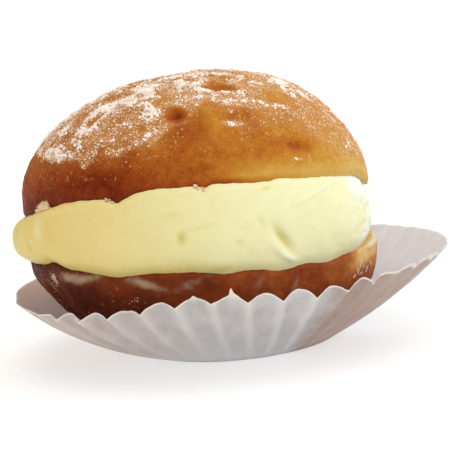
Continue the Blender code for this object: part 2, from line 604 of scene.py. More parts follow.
class Dresser(Board):
    """Builds one material, node by node."""

    def __init__(self, name: str) -> None:
        """Start a material with one Principled shader.

        Args:
            name: The material's name.
        """
        self.material = bpy.data.materials.new(name)
        self.material.use_nodes = True
        super().__init__(self.material.node_tree)
        self.shader = self.tree.nodes["Principled BSDF"]
        self.place = self.wire(self.node("ShaderNodeTexCoord"), "Object")

    def mark(self, name: str) -> Wire:
        """Read a named value of the piece."""
        return self.wire(self.node("ShaderNodeAttribute", {"attribute_name": name}), "Fac")

    def axis(self, name: str) -> Wire:
        """One coordinate of the place on the piece: X, Y or Z."""
        return self.wire(self.node("ShaderNodeSeparateXYZ", sockets={0: self.place}), name)

    def stretched(self, scale: Triple) -> Wire:
        """Place on the piece, with each axis multiplied by its scale."""
        sockets = {"Vector": self.place, "Scale": scale}
        return self.wire(self.node("ShaderNodeMapping", sockets=sockets))

    def pattern(
        self,
        texture: Texture,
        size: float,
        detail: float,
        place: Wire | None = None,
    ) -> Wire:
        """Add a pattern of this size.

        Args:
            texture: Clouds (0 to 1, mostly about 0.5) or cells (0 at each middle).
            size: How far apart its features are.
            detail: How many finer layers it has.
            place: Coordinates, if not the plain place on the piece.

        Returns:
            The pattern's value.
        """
        sockets = {"Vector": place or self.place, "Scale": 1.0 / size, "Detail": detail}
        return self.wire(self.node(texture.value, sockets=sockets))

    def specks(self, size: float, cover: Wire, width: float) -> Wire:
        """Strew round specks, more of them where the cover is greater.

        Args:
            size: How far apart they lie where the cover is full.
            cover: Share of the specks that are there.
            width: Half-width of a speck as a share of the size.

        Returns:
            1 on a speck and 0 off it.
        """
        sockets = {"Vector": self.place, "Scale": 1.0 / size}
        cells = self.node(Texture.CELL.value, sockets=sockets)
        drawn = self.node("ShaderNodeSeparateColor", sockets={0: self.wire(cells, "Color")})
        there = self.band(cover - self.wire(drawn, "Red"), 0.0, 0.1)
        return there * self.band(self.wire(cells, "Distance"), width, width * 0.6)

    def band(self, value: Wire, low: float, high: float) -> Wire:
        """Rise smoothly from 0 at low to 1 at high.

        Args:
            value: The value to read.
            low: Where the rise begins.
            high: Where it ends.

        Returns:
            A share from 0 to 1.
        """
        settings = {"interpolation_type": "SMOOTHSTEP"}
        sockets = {"Value": value, "From Min": low, "From Max": high}
        return self.wire(self.node("ShaderNodeMapRange", settings, sockets))

    def ramp(self, value: Wire, stops: tuple[tuple[float, Colour], ...]) -> Wire:
        """Read a colour off a ramp.

        Args:
            value: Where to read it.
            stops: The ramp's places and colours.

        Returns:
            The colour.
        """
        return self.wire(self.node("ShaderNodeValToRGB", {"stops": stops}, {"Fac": value}))

    def relief(self, layers: tuple[tuple[Wire, float], ...]) -> Wire:
        """Turn heights into a bumped normal.

        Args:
            layers: Each height with its depth in metres.

        Returns:
            The normal.
        """
        height = layers[0][0] * layers[0][1]
        for layer, depth in layers[1:]:
            height = height + layer * depth
        sockets = {"Height": height, "Distance": 1.0, "Strength": 1.0}
        return self.wire(self.node("ShaderNodeBump", sockets=sockets), "Normal")

    def done(self, **sockets: object) -> bpy.types.Material:
        """Set the shader's sockets and give the material.

        Args:
            sockets: Values or wires, by the socket's name with _ for each space.

        Returns:
            The material.
        """
        named = {name.replace("_", " "): value for name, value in sockets.items()}
        self.feed(self.shader, named)
        return self.material


# ---- finishes -------------------------------------------------------------------------
@dataclass(frozen=True)
class UpperCrust:
    """Fried crust of the upper half, from pale golden to dark brown, under fine sugar."""

    browned: tuple[tuple[float, Colour], ...] = (
        (0.0, (0.68, 0.55, 0.24)),
        (0.1, (0.62, 0.39, 0.090)),
        (0.25, (0.53, 0.235, 0.024)),
        (0.5, (0.42, 0.115, 0.010)),
        (0.72, (0.285, 0.050, 0.005)),
        (0.88, (0.205, 0.028, 0.003)),
        (1.0, (0.12, 0.013, 0.002)),
    )
    powder: Colour = (0.92, 0.82, 0.74)
    grain: Colour = (0.91, 0.62, 0.36)
    frost: Colour = (0.81, 0.50, 0.19)
    crumb: Colour = (0.78, 0.58, 0.30)
    # Tint of the painted shade between sugar grains
    gap: Colour = (0.70, 0.52, 0.38)

    def material(self) -> bpy.types.Material:
        """Make the material.

        Returns:
            The material.
        """
        crust = Dresser("upper_crust")
        wide = crust.pattern(Texture.CLOUD, 9 * MM, 3.0)
        fine = crust.pattern(Texture.CLOUD, 1.9 * MM, 4.0)
        grain = crust.pattern(Texture.CLOUD, 0.5 * MM, 2.0)
        clump = crust.pattern(Texture.CLOUD, 1.2 * MM, 2.0)
        granules = crust.pattern(Texture.CLOUD, 0.62 * MM, 1.0)
        pores = crust.pattern(Texture.CELL, 0.9 * MM, 0.0)
        sugar = crust.mark("sugar")
        dusted = crust.mark("dusted")
        uneven = (wide - 0.5) * 0.34 + (fine - 0.5) * 0.38
        uneven = uneven + (grain - 0.5) * (dusted + 0.30)
        browning = crust.mark("browning") + uneven * (1.0 - crust.mark("calm"))
        colour = crust.ramp(browning.within(), self.browned)
        torn = crust.band(crust.mark("torn") + (clump - 0.5) * 0.9, 0.30, 0.60)
        colour = crust.blend(torn, colour, self.crumb)
        heavy = crust.band(dusted, 0.30, 0.65)
        haze = crust.band(dusted, 0.15, 0.60) * (grain * 1.1 - 0.24)
        colour = crust.blend(haze.within(), colour, self.frost)
        cover = dusted * 1.45 - 0.10 + (clump - 0.5) * 0.6
        dots = crust.specks(0.95 * MM, cover, 0.47)
        dots = dots.most(crust.specks(0.6 * MM, cover, 0.46) * 0.85)
        shade = crust.blend(heavy, self.frost, self.grain)
        colour = crust.blend(dots * (0.43 + heavy * 0.41), colour, shade)
        thick = sugar + (clump - 0.5) * 1.3 + (granules - 0.5) * 1.7
        thick = crust.band(thick, 0.66, 1.06)
        colour = crust.blend(thick * 0.80, colour, self.powder)
        # Painted shade: darker gaps between the grains where the sugar lies thick
        shaded_gaps = crust.specks(0.95 * MM, heavy * 0.62, 0.40)
        colour = crust.tint(shaded_gaps * (1.0 - thick * 0.4), colour, self.gap)
        rough = 0.52 + fine * 0.14 + thick * 0.25
        normal = crust.relief(
            (
                (fine, 0.30 * MM),
                (grain, 0.12 * MM),
                (crust.band(pores, 0.0, 0.3), 0.05 * MM),
                (dots, 0.16 * MM),
                (thick, 0.18 * MM),
            )
        )
        return crust.done(
            Base_Color=colour,
            Roughness=rough,
            Normal=normal,
            Specular_IOR_Level=0.08,
        )


@dataclass(frozen=True)
class LowerCrust:
    """Darker crust of the lower half, greasy, with thin smears of cream and pale cracks."""

    browned: tuple[tuple[float, Colour], ...] = (
        (0.0, (0.74, 0.47, 0.18)),
        (0.15, (0.60, 0.275, 0.075)),
        (0.35, (0.42, 0.120, 0.025)),
        (0.55, (0.25, 0.046, 0.010)),
        (0.8, (0.095, 0.013, 0.004)),
        (1.0, (0.040, 0.006, 0.003)),
    )
    smear: Colour = (0.46, 0.31, 0.20)
    speck: Colour = (0.76, 0.58, 0.44)
    blister: Colour = (0.34, 0.13, 0.05)
    residue: Colour = (0.68, 0.60, 0.41)
    flake: Colour = (0.76, 0.54, 0.40)

    def material(self) -> bpy.types.Material:
        """Make the material.

        Returns:
            The material.
        """
        crust = Dresser("lower_crust")
        wide = crust.pattern(Texture.CLOUD, 7 * MM, 3.0)
        fine = crust.pattern(Texture.CLOUD, 1.8 * MM, 4.0)
        grain = crust.pattern(Texture.CLOUD, 0.5 * MM, 2.0)
        browning = crust.mark("browning") + (wide - 0.5) * 0.42 + (fine - 0.5) * 0.22
        browning = browning + (grain - 0.5) * 0.20
        colour = crust.ramp(browning.within(), self.browned)
        blisters = crust.specks(1.3 * MM, crust.mark("blisters"), 0.42)
        colour = crust.blend(blisters * 0.75, colour, self.blister)
        smeared = crust.mark("smear") + (fine - 0.5) * 1.3 + (grain - 0.5) * 0.5
        smeared = crust.band(smeared, 0.15, 1.25)
        colour = crust.blend(smeared * 0.85, colour, self.smear)
        residue = crust.band(crust.mark("residue") + (fine - 0.5) * 0.8, 0.1, 1.1)
        colour = crust.blend(residue * 0.85, colour, self.residue)
        flakes = crust.band(crust.mark("flakes") + (grain - 0.5) * 1.2, 0.35, 0.75)
        colour = crust.blend(flakes * 0.9, colour, self.flake)
        dotted = crust.pattern(Texture.CLOUD, 0.42 * MM, 2.0)
        specks = crust.mark("specks") * 0.5 + (dotted - 0.5) * 2.2
        specks = crust.band(specks, 0.62, 0.86)
        colour = crust.blend(specks * 0.9, colour, self.speck)
        rough = 0.50 + fine * 0.2 + smeared * 0.1
        normal = crust.relief(
            (
                (fine, 0.20 * MM),
                (grain, 0.08 * MM),
                (blisters, 0.10 * MM),
                (smeared, 0.12 * MM),
                (residue, 0.20 * MM),
                (specks, 0.08 * MM),
            )
        )
        return crust.done(
            Base_Color=colour,
            Roughness=rough,
            Normal=normal,
            Specular_IOR_Level=0.09,
        )


@dataclass(frozen=True)
class Custard:
    """Thick smooth cream, paler to the right partly as painted light; painted shade of deeper
    yellow in its hollows and at its foot; whitish where it was scraped and on painted
    highlights.
    """

    # Deeper yellow, painted as shade in hollows and at the foot
    shade_yellow: Colour = (0.68, 0.57, 0.15)
    # Left and right tones: the paler right is partly the cream's own tone, partly painted light
    left: Colour = (0.83, 0.655, 0.22)
    right: Colour = (0.86, 0.85, 0.515)
    # Whitish, for scrapes and for painted highlights
    whipped_and_highlight: Colour = (0.83, 0.89, 0.86)

    def material(self) -> bpy.types.Material:
        """Make the material.

        Returns:
            The material.
        """
        cream = Dresser("custard_cream")
        wide = cream.pattern(Texture.CLOUD, 14 * MM, 2.0)
        fine = cream.pattern(Texture.CLOUD, 2.4 * MM, 3.0)
        tiny = cream.pattern(Texture.CLOUD, 0.5 * MM, 2.0)
        middling = cream.pattern(Texture.CLOUD, 5 * MM, 2.0)
        # Paler towards the right: partly the cream's own tone, partly painted light, as if the
        # right end were washed out by bright light
        across = cream.band(cream.axis("X") + (wide - 0.5) * 0.012, -52 * MM, 16 * MM)
        colour = cream.blend(across, self.left, self.right)
        # Painted shade: deeper yellow in dents, grooves and folds and at the foot
        colour = cream.blend((cream.mark("hollow") * 0.9).within(), colour, self.shade_yellow)
        # Whitish scrapes, partly painted highlights: the left ridge, the curl below the gouge,
        # the light line and the brightly lit right end
        scraped = cream.mark("scraped") + (fine - 0.5) * 1.1 + (tiny - 0.5) * 0.5
        scraped = cream.band(scraped, 0.25, 0.95)
        colour = cream.blend(scraped * 0.8, colour, self.whipped_and_highlight)
        colour = cream.tint((fine - 0.42).within() * 0.7, colour, (0.93, 0.9, 0.78))
        colour = cream.tint((middling - 0.45).within() * 1.1, colour, (0.94, 0.93, 0.86))
        rough = 0.36 + fine * 0.12 + scraped * 0.15
        normal = cream.relief(((fine, 0.07 * MM), (tiny, 0.012 * MM), (scraped, 0.12 * MM)))
        return cream.done(
            Base_Color=colour,
            Roughness=rough,
            Normal=normal,
            Subsurface_Weight=0.22,
            Subsurface_Radius=(1.0, 0.85, 0.4),
            Subsurface_Scale=1.2 * MM,
            Specular_IOR_Level=0.2,
        )


@dataclass(frozen=True)
class CasePaper:
    """Thin greaseproof paper with fine fibres; light comes through it a little."""

    paper: Colour = (0.97, 0.97, 0.99)
    grey: Colour = (0.71, 0.70, 0.68)
    greasy: Colour = (0.76, 0.42, 0.26)
    # Tint of the painted shade on the right front
    shady: Colour = (0.60, 0.59, 0.60)
    # Colour of the painted highlight along the rim
    rim: Colour = (0.97, 0.94, 0.89)
    # Tint of the painted shade in the pleats' troughs
    trough: Colour = (0.77, 0.76, 0.77)
    # Tint of the painted shade along the foot
    foot: Colour = (0.66, 0.65, 0.66)
    fibre: Colour = (0.85, 0.84, 0.84)
    light_through: Colour = (0.93, 0.92, 0.95)
    creamy: Colour = (0.95, 0.90, 0.68)
    # Light that comes through: its share, less where shade is painted on the right front, more
    # where the paper isn't grey, as inside the right wing that is painted as lit
    through: float = 0.40
    through_lost_in_shade: float = 0.27
    lit: float = 0.5

    def material(self) -> bpy.types.Material:
        """Make the material.

        Returns:
            The material.
        """
        sheet = Dresser("case_paper")
        fibres = sheet.pattern(Texture.CLOUD, 0.6 * MM, 3.0, sheet.stretched((1.0, 1.0, 0.35)))
        cloud = sheet.pattern(Texture.CLOUD, 5 * MM, 3.0)
        # Grey paper, painted whiter as if lit inside the right wing and near the foot
        grey = (sheet.mark("grey") + (cloud - 0.5) * 0.5).within()
        colour = sheet.blend(grey, self.paper, self.grey)
        # Grease stains, and on the right front a part of the painted shade
        stain = (sheet.mark("stain") * (0.4 + cloud * 1.2) + (fibres - 0.5) * 0.2).within()
        colour = sheet.blend(stain, colour, self.greasy)
        # Painted shade in the troughs of the pleats
        trough = (sheet.mark("trough") * (cloud * 1.6 + 0.1)).within()
        colour = sheet.tint(trough, colour, self.trough)
        # Painted shade: a darker band along the foot of the under face at the front
        colour = sheet.tint(sheet.mark("foot") * 0.8, colour, self.foot)
        # Painted shade on the outer face of the right front wall
        colour = sheet.tint(sheet.mark("dull") * (0.6 + cloud * 0.8), colour, self.shady)
        fibrous = ((fibres - 0.38) * 2.4).within()
        colour = sheet.tint(fibrous, colour, self.fibre)
        # Painted highlight: a pale line along the rim, broader where the edge is ragged
        rim = sheet.band(sheet.mark("rim") + (fibres - 0.5) * 0.7, 0.25, 0.75)
        colour = sheet.blend(rim * 0.6, colour, self.rim)
        colour = sheet.blend(sheet.mark("tips").within() * 0.8, colour, self.creamy)
        normal = sheet.relief(((fibres, 0.04 * MM), (cloud, 0.10 * MM)))
        sheet.done(
            Base_Color=colour,
            Roughness=0.62,
            Normal=normal,
            Specular_IOR_Level=0.25,
        )
        glow = sheet.node("ShaderNodeBsdfTranslucent", sockets={"Color": self.light_through})
        front = sheet.wire(sheet.shader)
        through = self.through - sheet.mark("dull") * self.through_lost_in_shade
        through = (through + (0.5 - sheet.mark("grey")).within() * self.lit).within()
        sockets = {0: through, 1: front, 2: sheet.wire(glow)}
        mixed = sheet.wire(sheet.node("ShaderNodeMixShader", sockets=sockets))
        sheet.feed(sheet.tree.nodes["Material Output"], {"Surface": mixed})
        return sheet.material


@dataclass(frozen=True)
class SugarFinish:
    """Fine sugar, off-white, a little warm from the crust under it."""

    name: str
    white: Colour
    warm: Colour

    def material(self) -> bpy.types.Material:
        """Make the material.

        Returns:
            The material.
        """
        sugar = Dresser(self.name)
        patch = sugar.band(sugar.pattern(Texture.CLOUD, 1.8 * MM, 3.0), 0.40, 0.58)
        colour = sugar.blend(patch, self.warm, self.white)
        return sugar.done(
            Base_Color=colour,
            Roughness=0.6,
            Specular_IOR_Level=0.3,
        )


@dataclass(frozen=True)
class BreadFinish:
    """Torn bread: pale crumb with browner bits."""

    crumb: Colour = (0.87, 0.66, 0.42)
    crust: Colour = (0.20, 0.05, 0.012)

    def material(self) -> bpy.types.Material:
        """Make the material.

        Returns:
            The material.
        """
        bread = Dresser("bread_crumb")
        holes = bread.pattern(Texture.CLOUD, 0.8 * MM, 3.0)
        browned = (bread.mark("browning") + (holes - 0.5) * 0.5).within()
        colour = bread.blend(browned, self.crumb, self.crust)
        normal = bread.relief(((holes, 0.3 * MM),))
        return bread.done(Base_Color=colour, Roughness=0.7, Normal=normal)


# ---- the doughnut's form --------------------------------------------------------------
@dataclass(frozen=True)
class DoughnutForm:
    """Sizes that the two halves and the cream share."""

    gap: float = 0.3 * MM
    x: float = -7.5 * MM
    top_radius: float = 43.6 * MM
    bottom_radius_left: float = 43.3 * MM
    bottom_radius_right: float = 44.2 * MM
    upper_cut: float = 36.3 * MM
    upper_tilt: float = deg(11.6)
    upper_drop_back: float = 4.8 * MM
    upper_ease: float = 0.25
    lower_cut: float = 25.3 * MM
    lower_fall: float = 2.0 * MM
    lower_back_rise: float = 0.7 * MM
    lip_round: float = 0.5 * MM
    # How far the ragged edges wander, and how far apart the knife's marks are
    upper_wander: float = 0.22 * MM
    lower_wander: float = 0.20 * MM
    knife_marks: tuple[float, float] = (5 * MM, 1.4 * MM)
    upper_notches: tuple[Swell, ...] = edge_swells(
        MM,
        (205.0, 5.0, -0.4),
        (229.0, 8.0, 0.25),
        (241.5, 3.0, -0.35),
        (246.6, 2.7, -1.6),
        (250.5, 2.0, -0.5),
        (258.0, 5.0, 0.25),
        (273.0, 1.8, -0.75),
        (289.0, 7.0, -0.42),
        (298.5, 3.5, 0.25),
        (315.0, 8.0, 0.25),
        (333.5, 9.5, 0.95),
        (353.0, 6.0, -0.6),
    )
    lower_notches: tuple[Swell, ...] = edge_swells(
        MM,
        (190.0, 6.0, -0.5),
        (206.0, 4.0, 0.35),
        (216.5, 6.5, 1.7),
        (229.5, 6.0, 0.45),
        (243.0, 4.5, -0.45),
        (258.0, 7.0, 0.5),
        (267.0, 3.5, 0.40),
        (278.0, 3.5, -0.50),
        (295.0, 6.0, -1.05),
        (312.5, 7.0, -1.05),
        (327.0, 6.0, -0.35),
        (352.0, 5.0, 0.5),
    )

    def upper_edge(self, angle: Numbers) -> Numbers:
        """Height of the upper cut's edge, as in the solids.

        Args:
            angle: Directions of the points.

        Returns:
            The height in each direction.
        """
        forward = -np.sin(angle)
        rise = self.top_radius * math.tan(self.upper_tilt)
        slope = 0.5 * (rise + self.upper_drop_back)
        bend = 0.5 * (rise - self.upper_drop_back)
        bend /= math.hypot(1.0, self.upper_ease) - self.upper_ease
        eased = np.hypot(forward, self.upper_ease) - self.upper_ease
        return self.upper_cut + slope * forward + bend * eased

    def lower_edge(self, angle: Numbers) -> Numbers:
        """Height of the lower cut's edge in these directions, as in the solids."""
        back = np.maximum(0.0, np.sin(angle))
        return self.lower_cut - self.lower_fall * np.cos(angle) + self.lower_back_rise * back

    def bottom_radius(self, angle: Numbers) -> Numbers:
        """Radius of the lower half at its cut."""
        return mix(self.bottom_radius_left, self.bottom_radius_right, 0.5 + 0.5 * np.cos(angle))

    def ragged(self, angle: Numbers, batch: float, depth: float) -> Numbers:
        """Small unevenness that a bread knife leaves along an edge.

        Args:
            angle: Directions of the points.
            batch: Picks another pattern.
            depth: How far the edge wanders.

        Returns:
            The height to add.
        """
        ring = stacked(np.cos(angle), np.sin(angle), np.zeros_like(angle)) * self.top_radius
        broad, fine = (lumps(ring, size, 2, batch) for size in self.knife_marks)
        return depth * (0.6 * broad + 0.5 * fine)

    def upper_lip(self, angle: Numbers) -> Numbers:
        """Height of the upper crust's ragged edge."""
        edge = self.upper_edge(angle) + along_edge(self.upper_notches, angle)
        return edge + self.ragged(angle, 1.0, self.upper_wander)

    def lower_lip(self, angle: Numbers) -> Numbers:
        """Height of the lower crust's ragged edge."""
        edge = self.lower_edge(angle) + along_edge(self.lower_notches, angle)
        return edge + self.ragged(angle, 2.0, self.lower_wander)

    def at(self, angle: Numbers, radius: Numbers, height: Numbers) -> Numbers:
        """Place points round the doughnut's own axis."""
        return stacked(self.x + radius * np.cos(angle), radius * np.sin(angle), height)


# ---- upper half -----------------------------------------------------------------------
@dataclass
class UpperHalf:
    """The domed upper half: lumpy fried crust that leans back on its tilted cut."""

    form: DoughnutForm
    steps: int = 420
    rings: int = 190
    dome_height: float = 31.2 * MM
    dome_power: float = 2.22
    arc: float = 40.0 * MM
    lumpy: tuple[Lumpy, ...] = (
        Lumpy(0.34 * MM, 13 * MM, 2, 3.0),
        Lumpy(0.16 * MM, 4.5 * MM, 2, 4.0),
        Lumpy(0.07 * MM, 1.6 * MM, 2, 5.0),
    )
    rugged: Lumpy = Lumpy(0.22 * MM, 2.4 * MM, 3, 17.0)
    # The dusting: how its edge wanders, how patchy it is, and how the sugar clumps in it
    wandering: Lumpy = Lumpy(deg(2.2), 5 * MM, 2, 19.0)
    patchy: Lumpy = Lumpy(0.45, 3.4 * MM, 2, 18.0)
    clumped: Lumpy = Lumpy(0.40, 6 * MM, 2, 6.0)
    clotted: Lumpy = Lumpy(0.65, 2.4 * MM, 3, 16.0)
    sugar_height: float = 0.26 * MM
    # Where more lone grains lie below the dusting, and where the crust is palest
    lone_grains: Swell = Swell(deg(312.0), deg(30.0), 0.20)
    palest: float = deg(335.0)
    # Broad swells: direction, elevation and spread in degrees, height in millimetres
    swells: tuple[tuple[float, float, float, float], ...] = (
        (180.0, 20.0, 15.0, 0.4),
        (180.0, 48.0, 18.0, -0.7),
        (0.0, 62.0, 15.0, 1.0),
        (0.0, 30.0, 18.0, -0.8),
        (300.0, 62.0, 16.0, 0.7),
        (75.0, 40.0, 24.0, 0.9),
        (125.0, 58.0, 20.0, -0.6),
    )
    # Dusting: direction, elevation of its lower edge, how much lies above it
    dust: tuple[tuple[float, float, float], ...] = (
        (0.0, 10.0, 0.36),
        (40.0, 24.0, 0.40),
        (120.0, 28.0, 0.50),
        (180.0, 26.0, 0.55),
        (202.0, 23.0, 0.56),
        (211.0, 19.0, 0.55),
        (224.0, 15.0, 0.46),
        (234.0, 12.5, 0.44),
        (250.0, 15.5, 0.46),
        (259.0, 14.5, 0.46),
        (263.0, 20.0, 0.52),
        (270.0, 25.0, 0.56),
        (274.0, 30.5, 0.56),
        (278.0, 35.5, 0.56),
        (283.0, 31.0, 0.54),
        (287.0, 24.0, 0.52),
        (296.0, 26.5, 0.50),
        (305.0, 28.0, 0.46),
        (312.0, 21.5, 0.42),
        (323.0, 14.0, 0.40),
        (332.0, 6.0, 0.40),
        (345.0, 4.0, 0.38),
        (360.0, 10.0, 0.36),
    )
    # Dimples, folds and ridges of the crust, by direction and elevation
    dents: tuple[Mark, ...] = dome_marks(
        arc,
        MM,
        (267.0, 31.0, 1.5, 2.0, 10.0, -1.5),
        (266.4, 36.0, 2.2, 0.9, -10.0, 0.45),
        (285.2, 47.4, 2.0, 2.2, 8.0, -1.2),
        (289.5, 46.0, 1.5, 1.2, -20.0, -0.5),
        (305.6, 11.8, 4.6, 1.6, -26.0, -1.0),
        (300.6, 16.5, 0.9, 3.4, 24.0, 0.45),
        (278.0, 27.0, 1.5, 5.5, 8.0, 0.65),
        (272.0, 24.0, 2.2, 5.0, 8.0, -0.5),
        (247.0, 8.0, 9.0, 2.0, -6.0, -0.45),
        (216.0, 17.0, 8.0, 1.8, -8.0, -0.45),
        (292.0, 28.0, 5.0, 1.6, -35.0, 0.45),
        (246.0, 41.0, 2.0, 1.5, 20.0, -0.5),
        (258.0, 47.0, 2.6, 1.6, 20.0, -0.6),
        (300.0, 52.0, 2.6, 1.4, -20.0, -0.6),
        (240.0, 38.0, 3.0, 1.5, 30.0, -0.4),
    )
    # Places that are browner, or paler where the amount is less than nothing; the darker spots
    # in the dimples and dents and the thin dark line along the lip are painted shade
    toned_and_shaded: tuple[Mark, ...] = dome_marks(
        arc,
        PLAIN,
        (267.0, 31.0, 1.6, 2.2, 10.0, 0.30),
        (285.5, 47.6, 2.4, 2.2, 0.0, 0.10),
        (308.5, 37.5, 3.6, 3.2, -20.0, -0.12),
        (283.0, 0.43, 9.0, 0.7, 0.0, 0.30),
        (305.6, 11.8, 4.6, 1.8, -26.0, 0.21),
        (299.6, 17.0, 0.8, 3.2, 24.0, -0.14),
        (295.0, 11.0, 4.5, 2.6, 0.0, 0.12),
        (279.0, 27.5, 2.0, 5.0, 8.0, -0.20),
        (270.0, 21.0, 3.5, 4.5, 8.0, 0.14),
        (290.0, 24.0, 5.0, 4.0, 0.0, 0.10),
        (242.0, 7.5, 5.5, 2.8, 0.0, 0.12),
        (246.0, 41.0, 2.6, 2.0, 0.0, 0.22),
        (228.0, 6.0, 14.0, 2.5, 0.0, 0.10),
    )
    # Places where more or less sugar lies than the dusting gives
    sugared: tuple[Mark, ...] = dome_marks(
        arc,
        PLAIN,
        (221.5, 20.0, 7.0, 1.7, -19.0, 0.34),
        (235.0, 12.6, 1.3, 0.9, 0.0, 0.45),
        (233.0, 29.8, 2.3, 1.6, 8.0, 0.46),
        (237.4, 41.5, 2.8, 2.2, 20.0, 0.42),
        (245.0, 45.0, 3.4, 1.8, 10.0, 0.42),
        (256.3, 53.0, 4.5, 3.0, 0.0, 0.32),
        (259.7, 22.9, 2.6, 1.1, 8.0, 0.34),
        (249.5, 18.5, 3.2, 1.2, 6.0, 0.18),
        (258.0, 11.8, 2.6, 0.9, 0.0, 0.22),
        (276.0, 40.3, 3.0, 1.5, -12.0, 0.40),
        (283.0, 43.8, 3.0, 1.1, -20.0, 0.30),
        (289.4, 36.2, 3.2, 1.3, -25.0, 0.40),
        (300.5, 33.6, 2.6, 0.9, -28.0, 0.42),
        (284.4, 24.0, 3.2, 1.3, -14.0, 0.80),
        (287.5, 27.6, 2.0, 1.0, 0.0, -0.5),
        (289.9, 19.6, 0.5, 2.0, 0.0, 0.14),
        (321.0, 51.0, 3.5, 2.4, -20.0, 0.22),
        (325.0, 42.0, 4.0, 1.8, -20.0, 0.20),
        (329.5, 8.2, 1.1, 2.2, 20.0, 0.36),
        (337.0, 6.0, 1.1, 2.4, 10.0, 0.26),
        (317.5, 10.6, 5.5, 0.4, 6.0, 0.20),
        (297.5, 22.0, 0.6, 5.0, 6.0, 0.06),
        (292.0, 29.5, 3.4, 1.6, -20.0, -0.25),
        (304.4, 6.5, 1.9, 0.35, -6.0, 0.62),
        (228.0, 7.5, 9.0, 1.6, -4.0, 0.06),
        (267.0, 31.0, 1.7, 2.3, 10.0, -1.6),
        (285.2, 47.4, 2.1, 2.3, 8.0, -0.9),
        (289.5, 46.0, 1.6, 1.3, -20.0, -0.5),
        (278.6, 25.6, 3.2, 4.0, 0.0, -0.5),
        (308.5, 37.5, 3.6, 3.2, -20.0, -0.42),
    )

    def blank(self) -> bmesh.types.BMesh:
        """Turn a unit dome on a flat disc.

        Returns:
            The blank.
        """
        profile = [(share, 0.0) for share in (0.0, 0.5, 0.9, 0.97)]
        for ring in range(self.rings + 1):
            rise = 0.5 * math.pi * ring / self.rings
            profile.append((math.cos(rise), math.sin(rise)))
        profile[-1] = (0.0, 1.0)
        return turned(profile, self.steps)

    def swell(self, spots: Numbers) -> Numbers:
        """How far the broad swells move the crust.

        Args:
            spots: Points of the unit dome.

        Returns:
            The height at each point.
        """
        total = np.zeros(len(spots))
        for direction, elevation, spread, height in self.swells:
            level = math.cos(deg(elevation))
            centre = (
                math.cos(deg(direction)) * level,
                math.sin(deg(direction)) * level,
                math.sin(deg(elevation)),
            )
            apart = np.arccos(np.clip(spots @ np.array(centre), -1.0, 1.0))
            total += height * MM * bell(apart, deg(spread))
        return total

    def shape(self, spots: Numbers) -> Shaped:
        """Place the points of the unit dome and give them their marks.

        Args:
            spots: Points of the blank.

        Returns:
            Places and marks.
        """
        form = self.form
        angle, level, z = polar(spots)
        on_cut = (z < HAIR) & (level < 1.0 - NEAR)
        elevation = np.arcsin(np.clip(z, 0.0, 1.0))
        lip = form.upper_lip(angle)
        # The dome leans back with the cut, and its foot follows the cut's edge.
        radius = form.top_radius * level ** (2.0 / self.dome_power)
        radius -= form.lip_round * (1.0 - ease(elevation, 0.0, deg(2.4))) ** 2
        rise = self.dome_height * np.clip(z, 0.0, 1.0) ** (2.0 / self.dome_power)
        forward = -np.sin(angle)
        tilted = form.upper_cut + forward * radius * math.tan(form.upper_tilt)
        foot = lip - form.upper_cut - forward * form.top_radius * math.tan(form.upper_tilt)
        height = tilted + foot * (1.0 - np.clip(z, 0.0, 1.0)) ** 2
        places = form.at(angle, radius, height)
        places += rise[:, None] * np.array(
            (0.0, math.sin(form.upper_tilt), math.cos(form.upper_tilt))
        )
        up = elevation * self.arc
        around = self.arc * np.cos(elevation)
        fade = np.clip(FADE * z, 0.0, 1.0)
        relief = self.swell(spots) + all_marks(self.dents, angle, up, around)
        for layer in self.lumpy:
            relief += layer.felt(places)
        dusted = self.dusted(places, angle, elevation)
        sugar = self.sugar(places, dusted)
        # Marks that take sugar away leave no lone grains either
        bare = 1.0 + np.clip(all_marks(self.sugared, angle, up, around), -1.0, 0.0)
        browning = self.browning(angle, elevation)
        relief += ease(elevation, deg(10.0), deg(24.0)) * self.rugged.felt(places)
        relief += self.sugar_height * ease(sugar, 0.35, 1.1)
        places += spots * (relief * fade)[:, None]
        flat = level * (form.top_radius - form.lip_round)
        cut = form.at(angle, flat, mix(form.upper_cut, lip, level))
        places[on_cut] = cut[on_cut]
        marks = {
            "browning": browning + all_marks(self.toned_and_shaded, angle, up, around),
            "sugar": sugar * ~on_cut,
            "dusted": np.maximum(dusted, self.sparse(angle, elevation) * bare) * ~on_cut,
            "calm": 0.75 * self.calm(angle, elevation),
            "torn": self.torn(angle, places[:, 2] - lip) + on_cut,
        }
        return Shaped(places, marks)

    def browning(self, angle: Numbers, elevation: Numbers) -> Numbers:
        """How dark the crust is: most at the left, least low on the right; the dark left side
        and its low rim are partly painted shade.

        Args:
            angle: Directions of the points.
            elevation: Their elevation on the unit dome.

        Returns:
            0 for pale golden to 1 for dark brown.
        """
        facing = np.cos(turn_from(angle, self.palest))
        low = np.clip(0.79 - 0.54 * facing - 0.03 * np.clip(facing, 0.0, 1.0) ** 6, 0.0, 0.76)
        high = 0.50 - 0.12 * facing
        brown = mix(low, high, ease(elevation, deg(3.0), deg(28.0)))
        # Painted shade: darker along the low rim on the dark side, where the crust turns under
        rim = bell(elevation, deg(4.5)) * ease(facing, 0.5, 0.0)
        golden = mix(0.27, 0.12, ease(facing, 0.66, 1.0)) * self.calm(angle, elevation)
        return brown + 0.16 * rim - golden

    def calm(self, angle: Numbers, elevation: Numbers) -> Numbers:
        """Where the crust is smooth and golden: low down on the right.

        Args:
            angle: Directions of the points.
            elevation: Their elevation on the unit dome.

        Returns:
            0 for uneven to 1 for smooth.
        """
        facing = np.cos(turn_from(angle, self.palest))
        return ease(facing, 0.50, 0.68) * bell(elevation, deg(7.0))

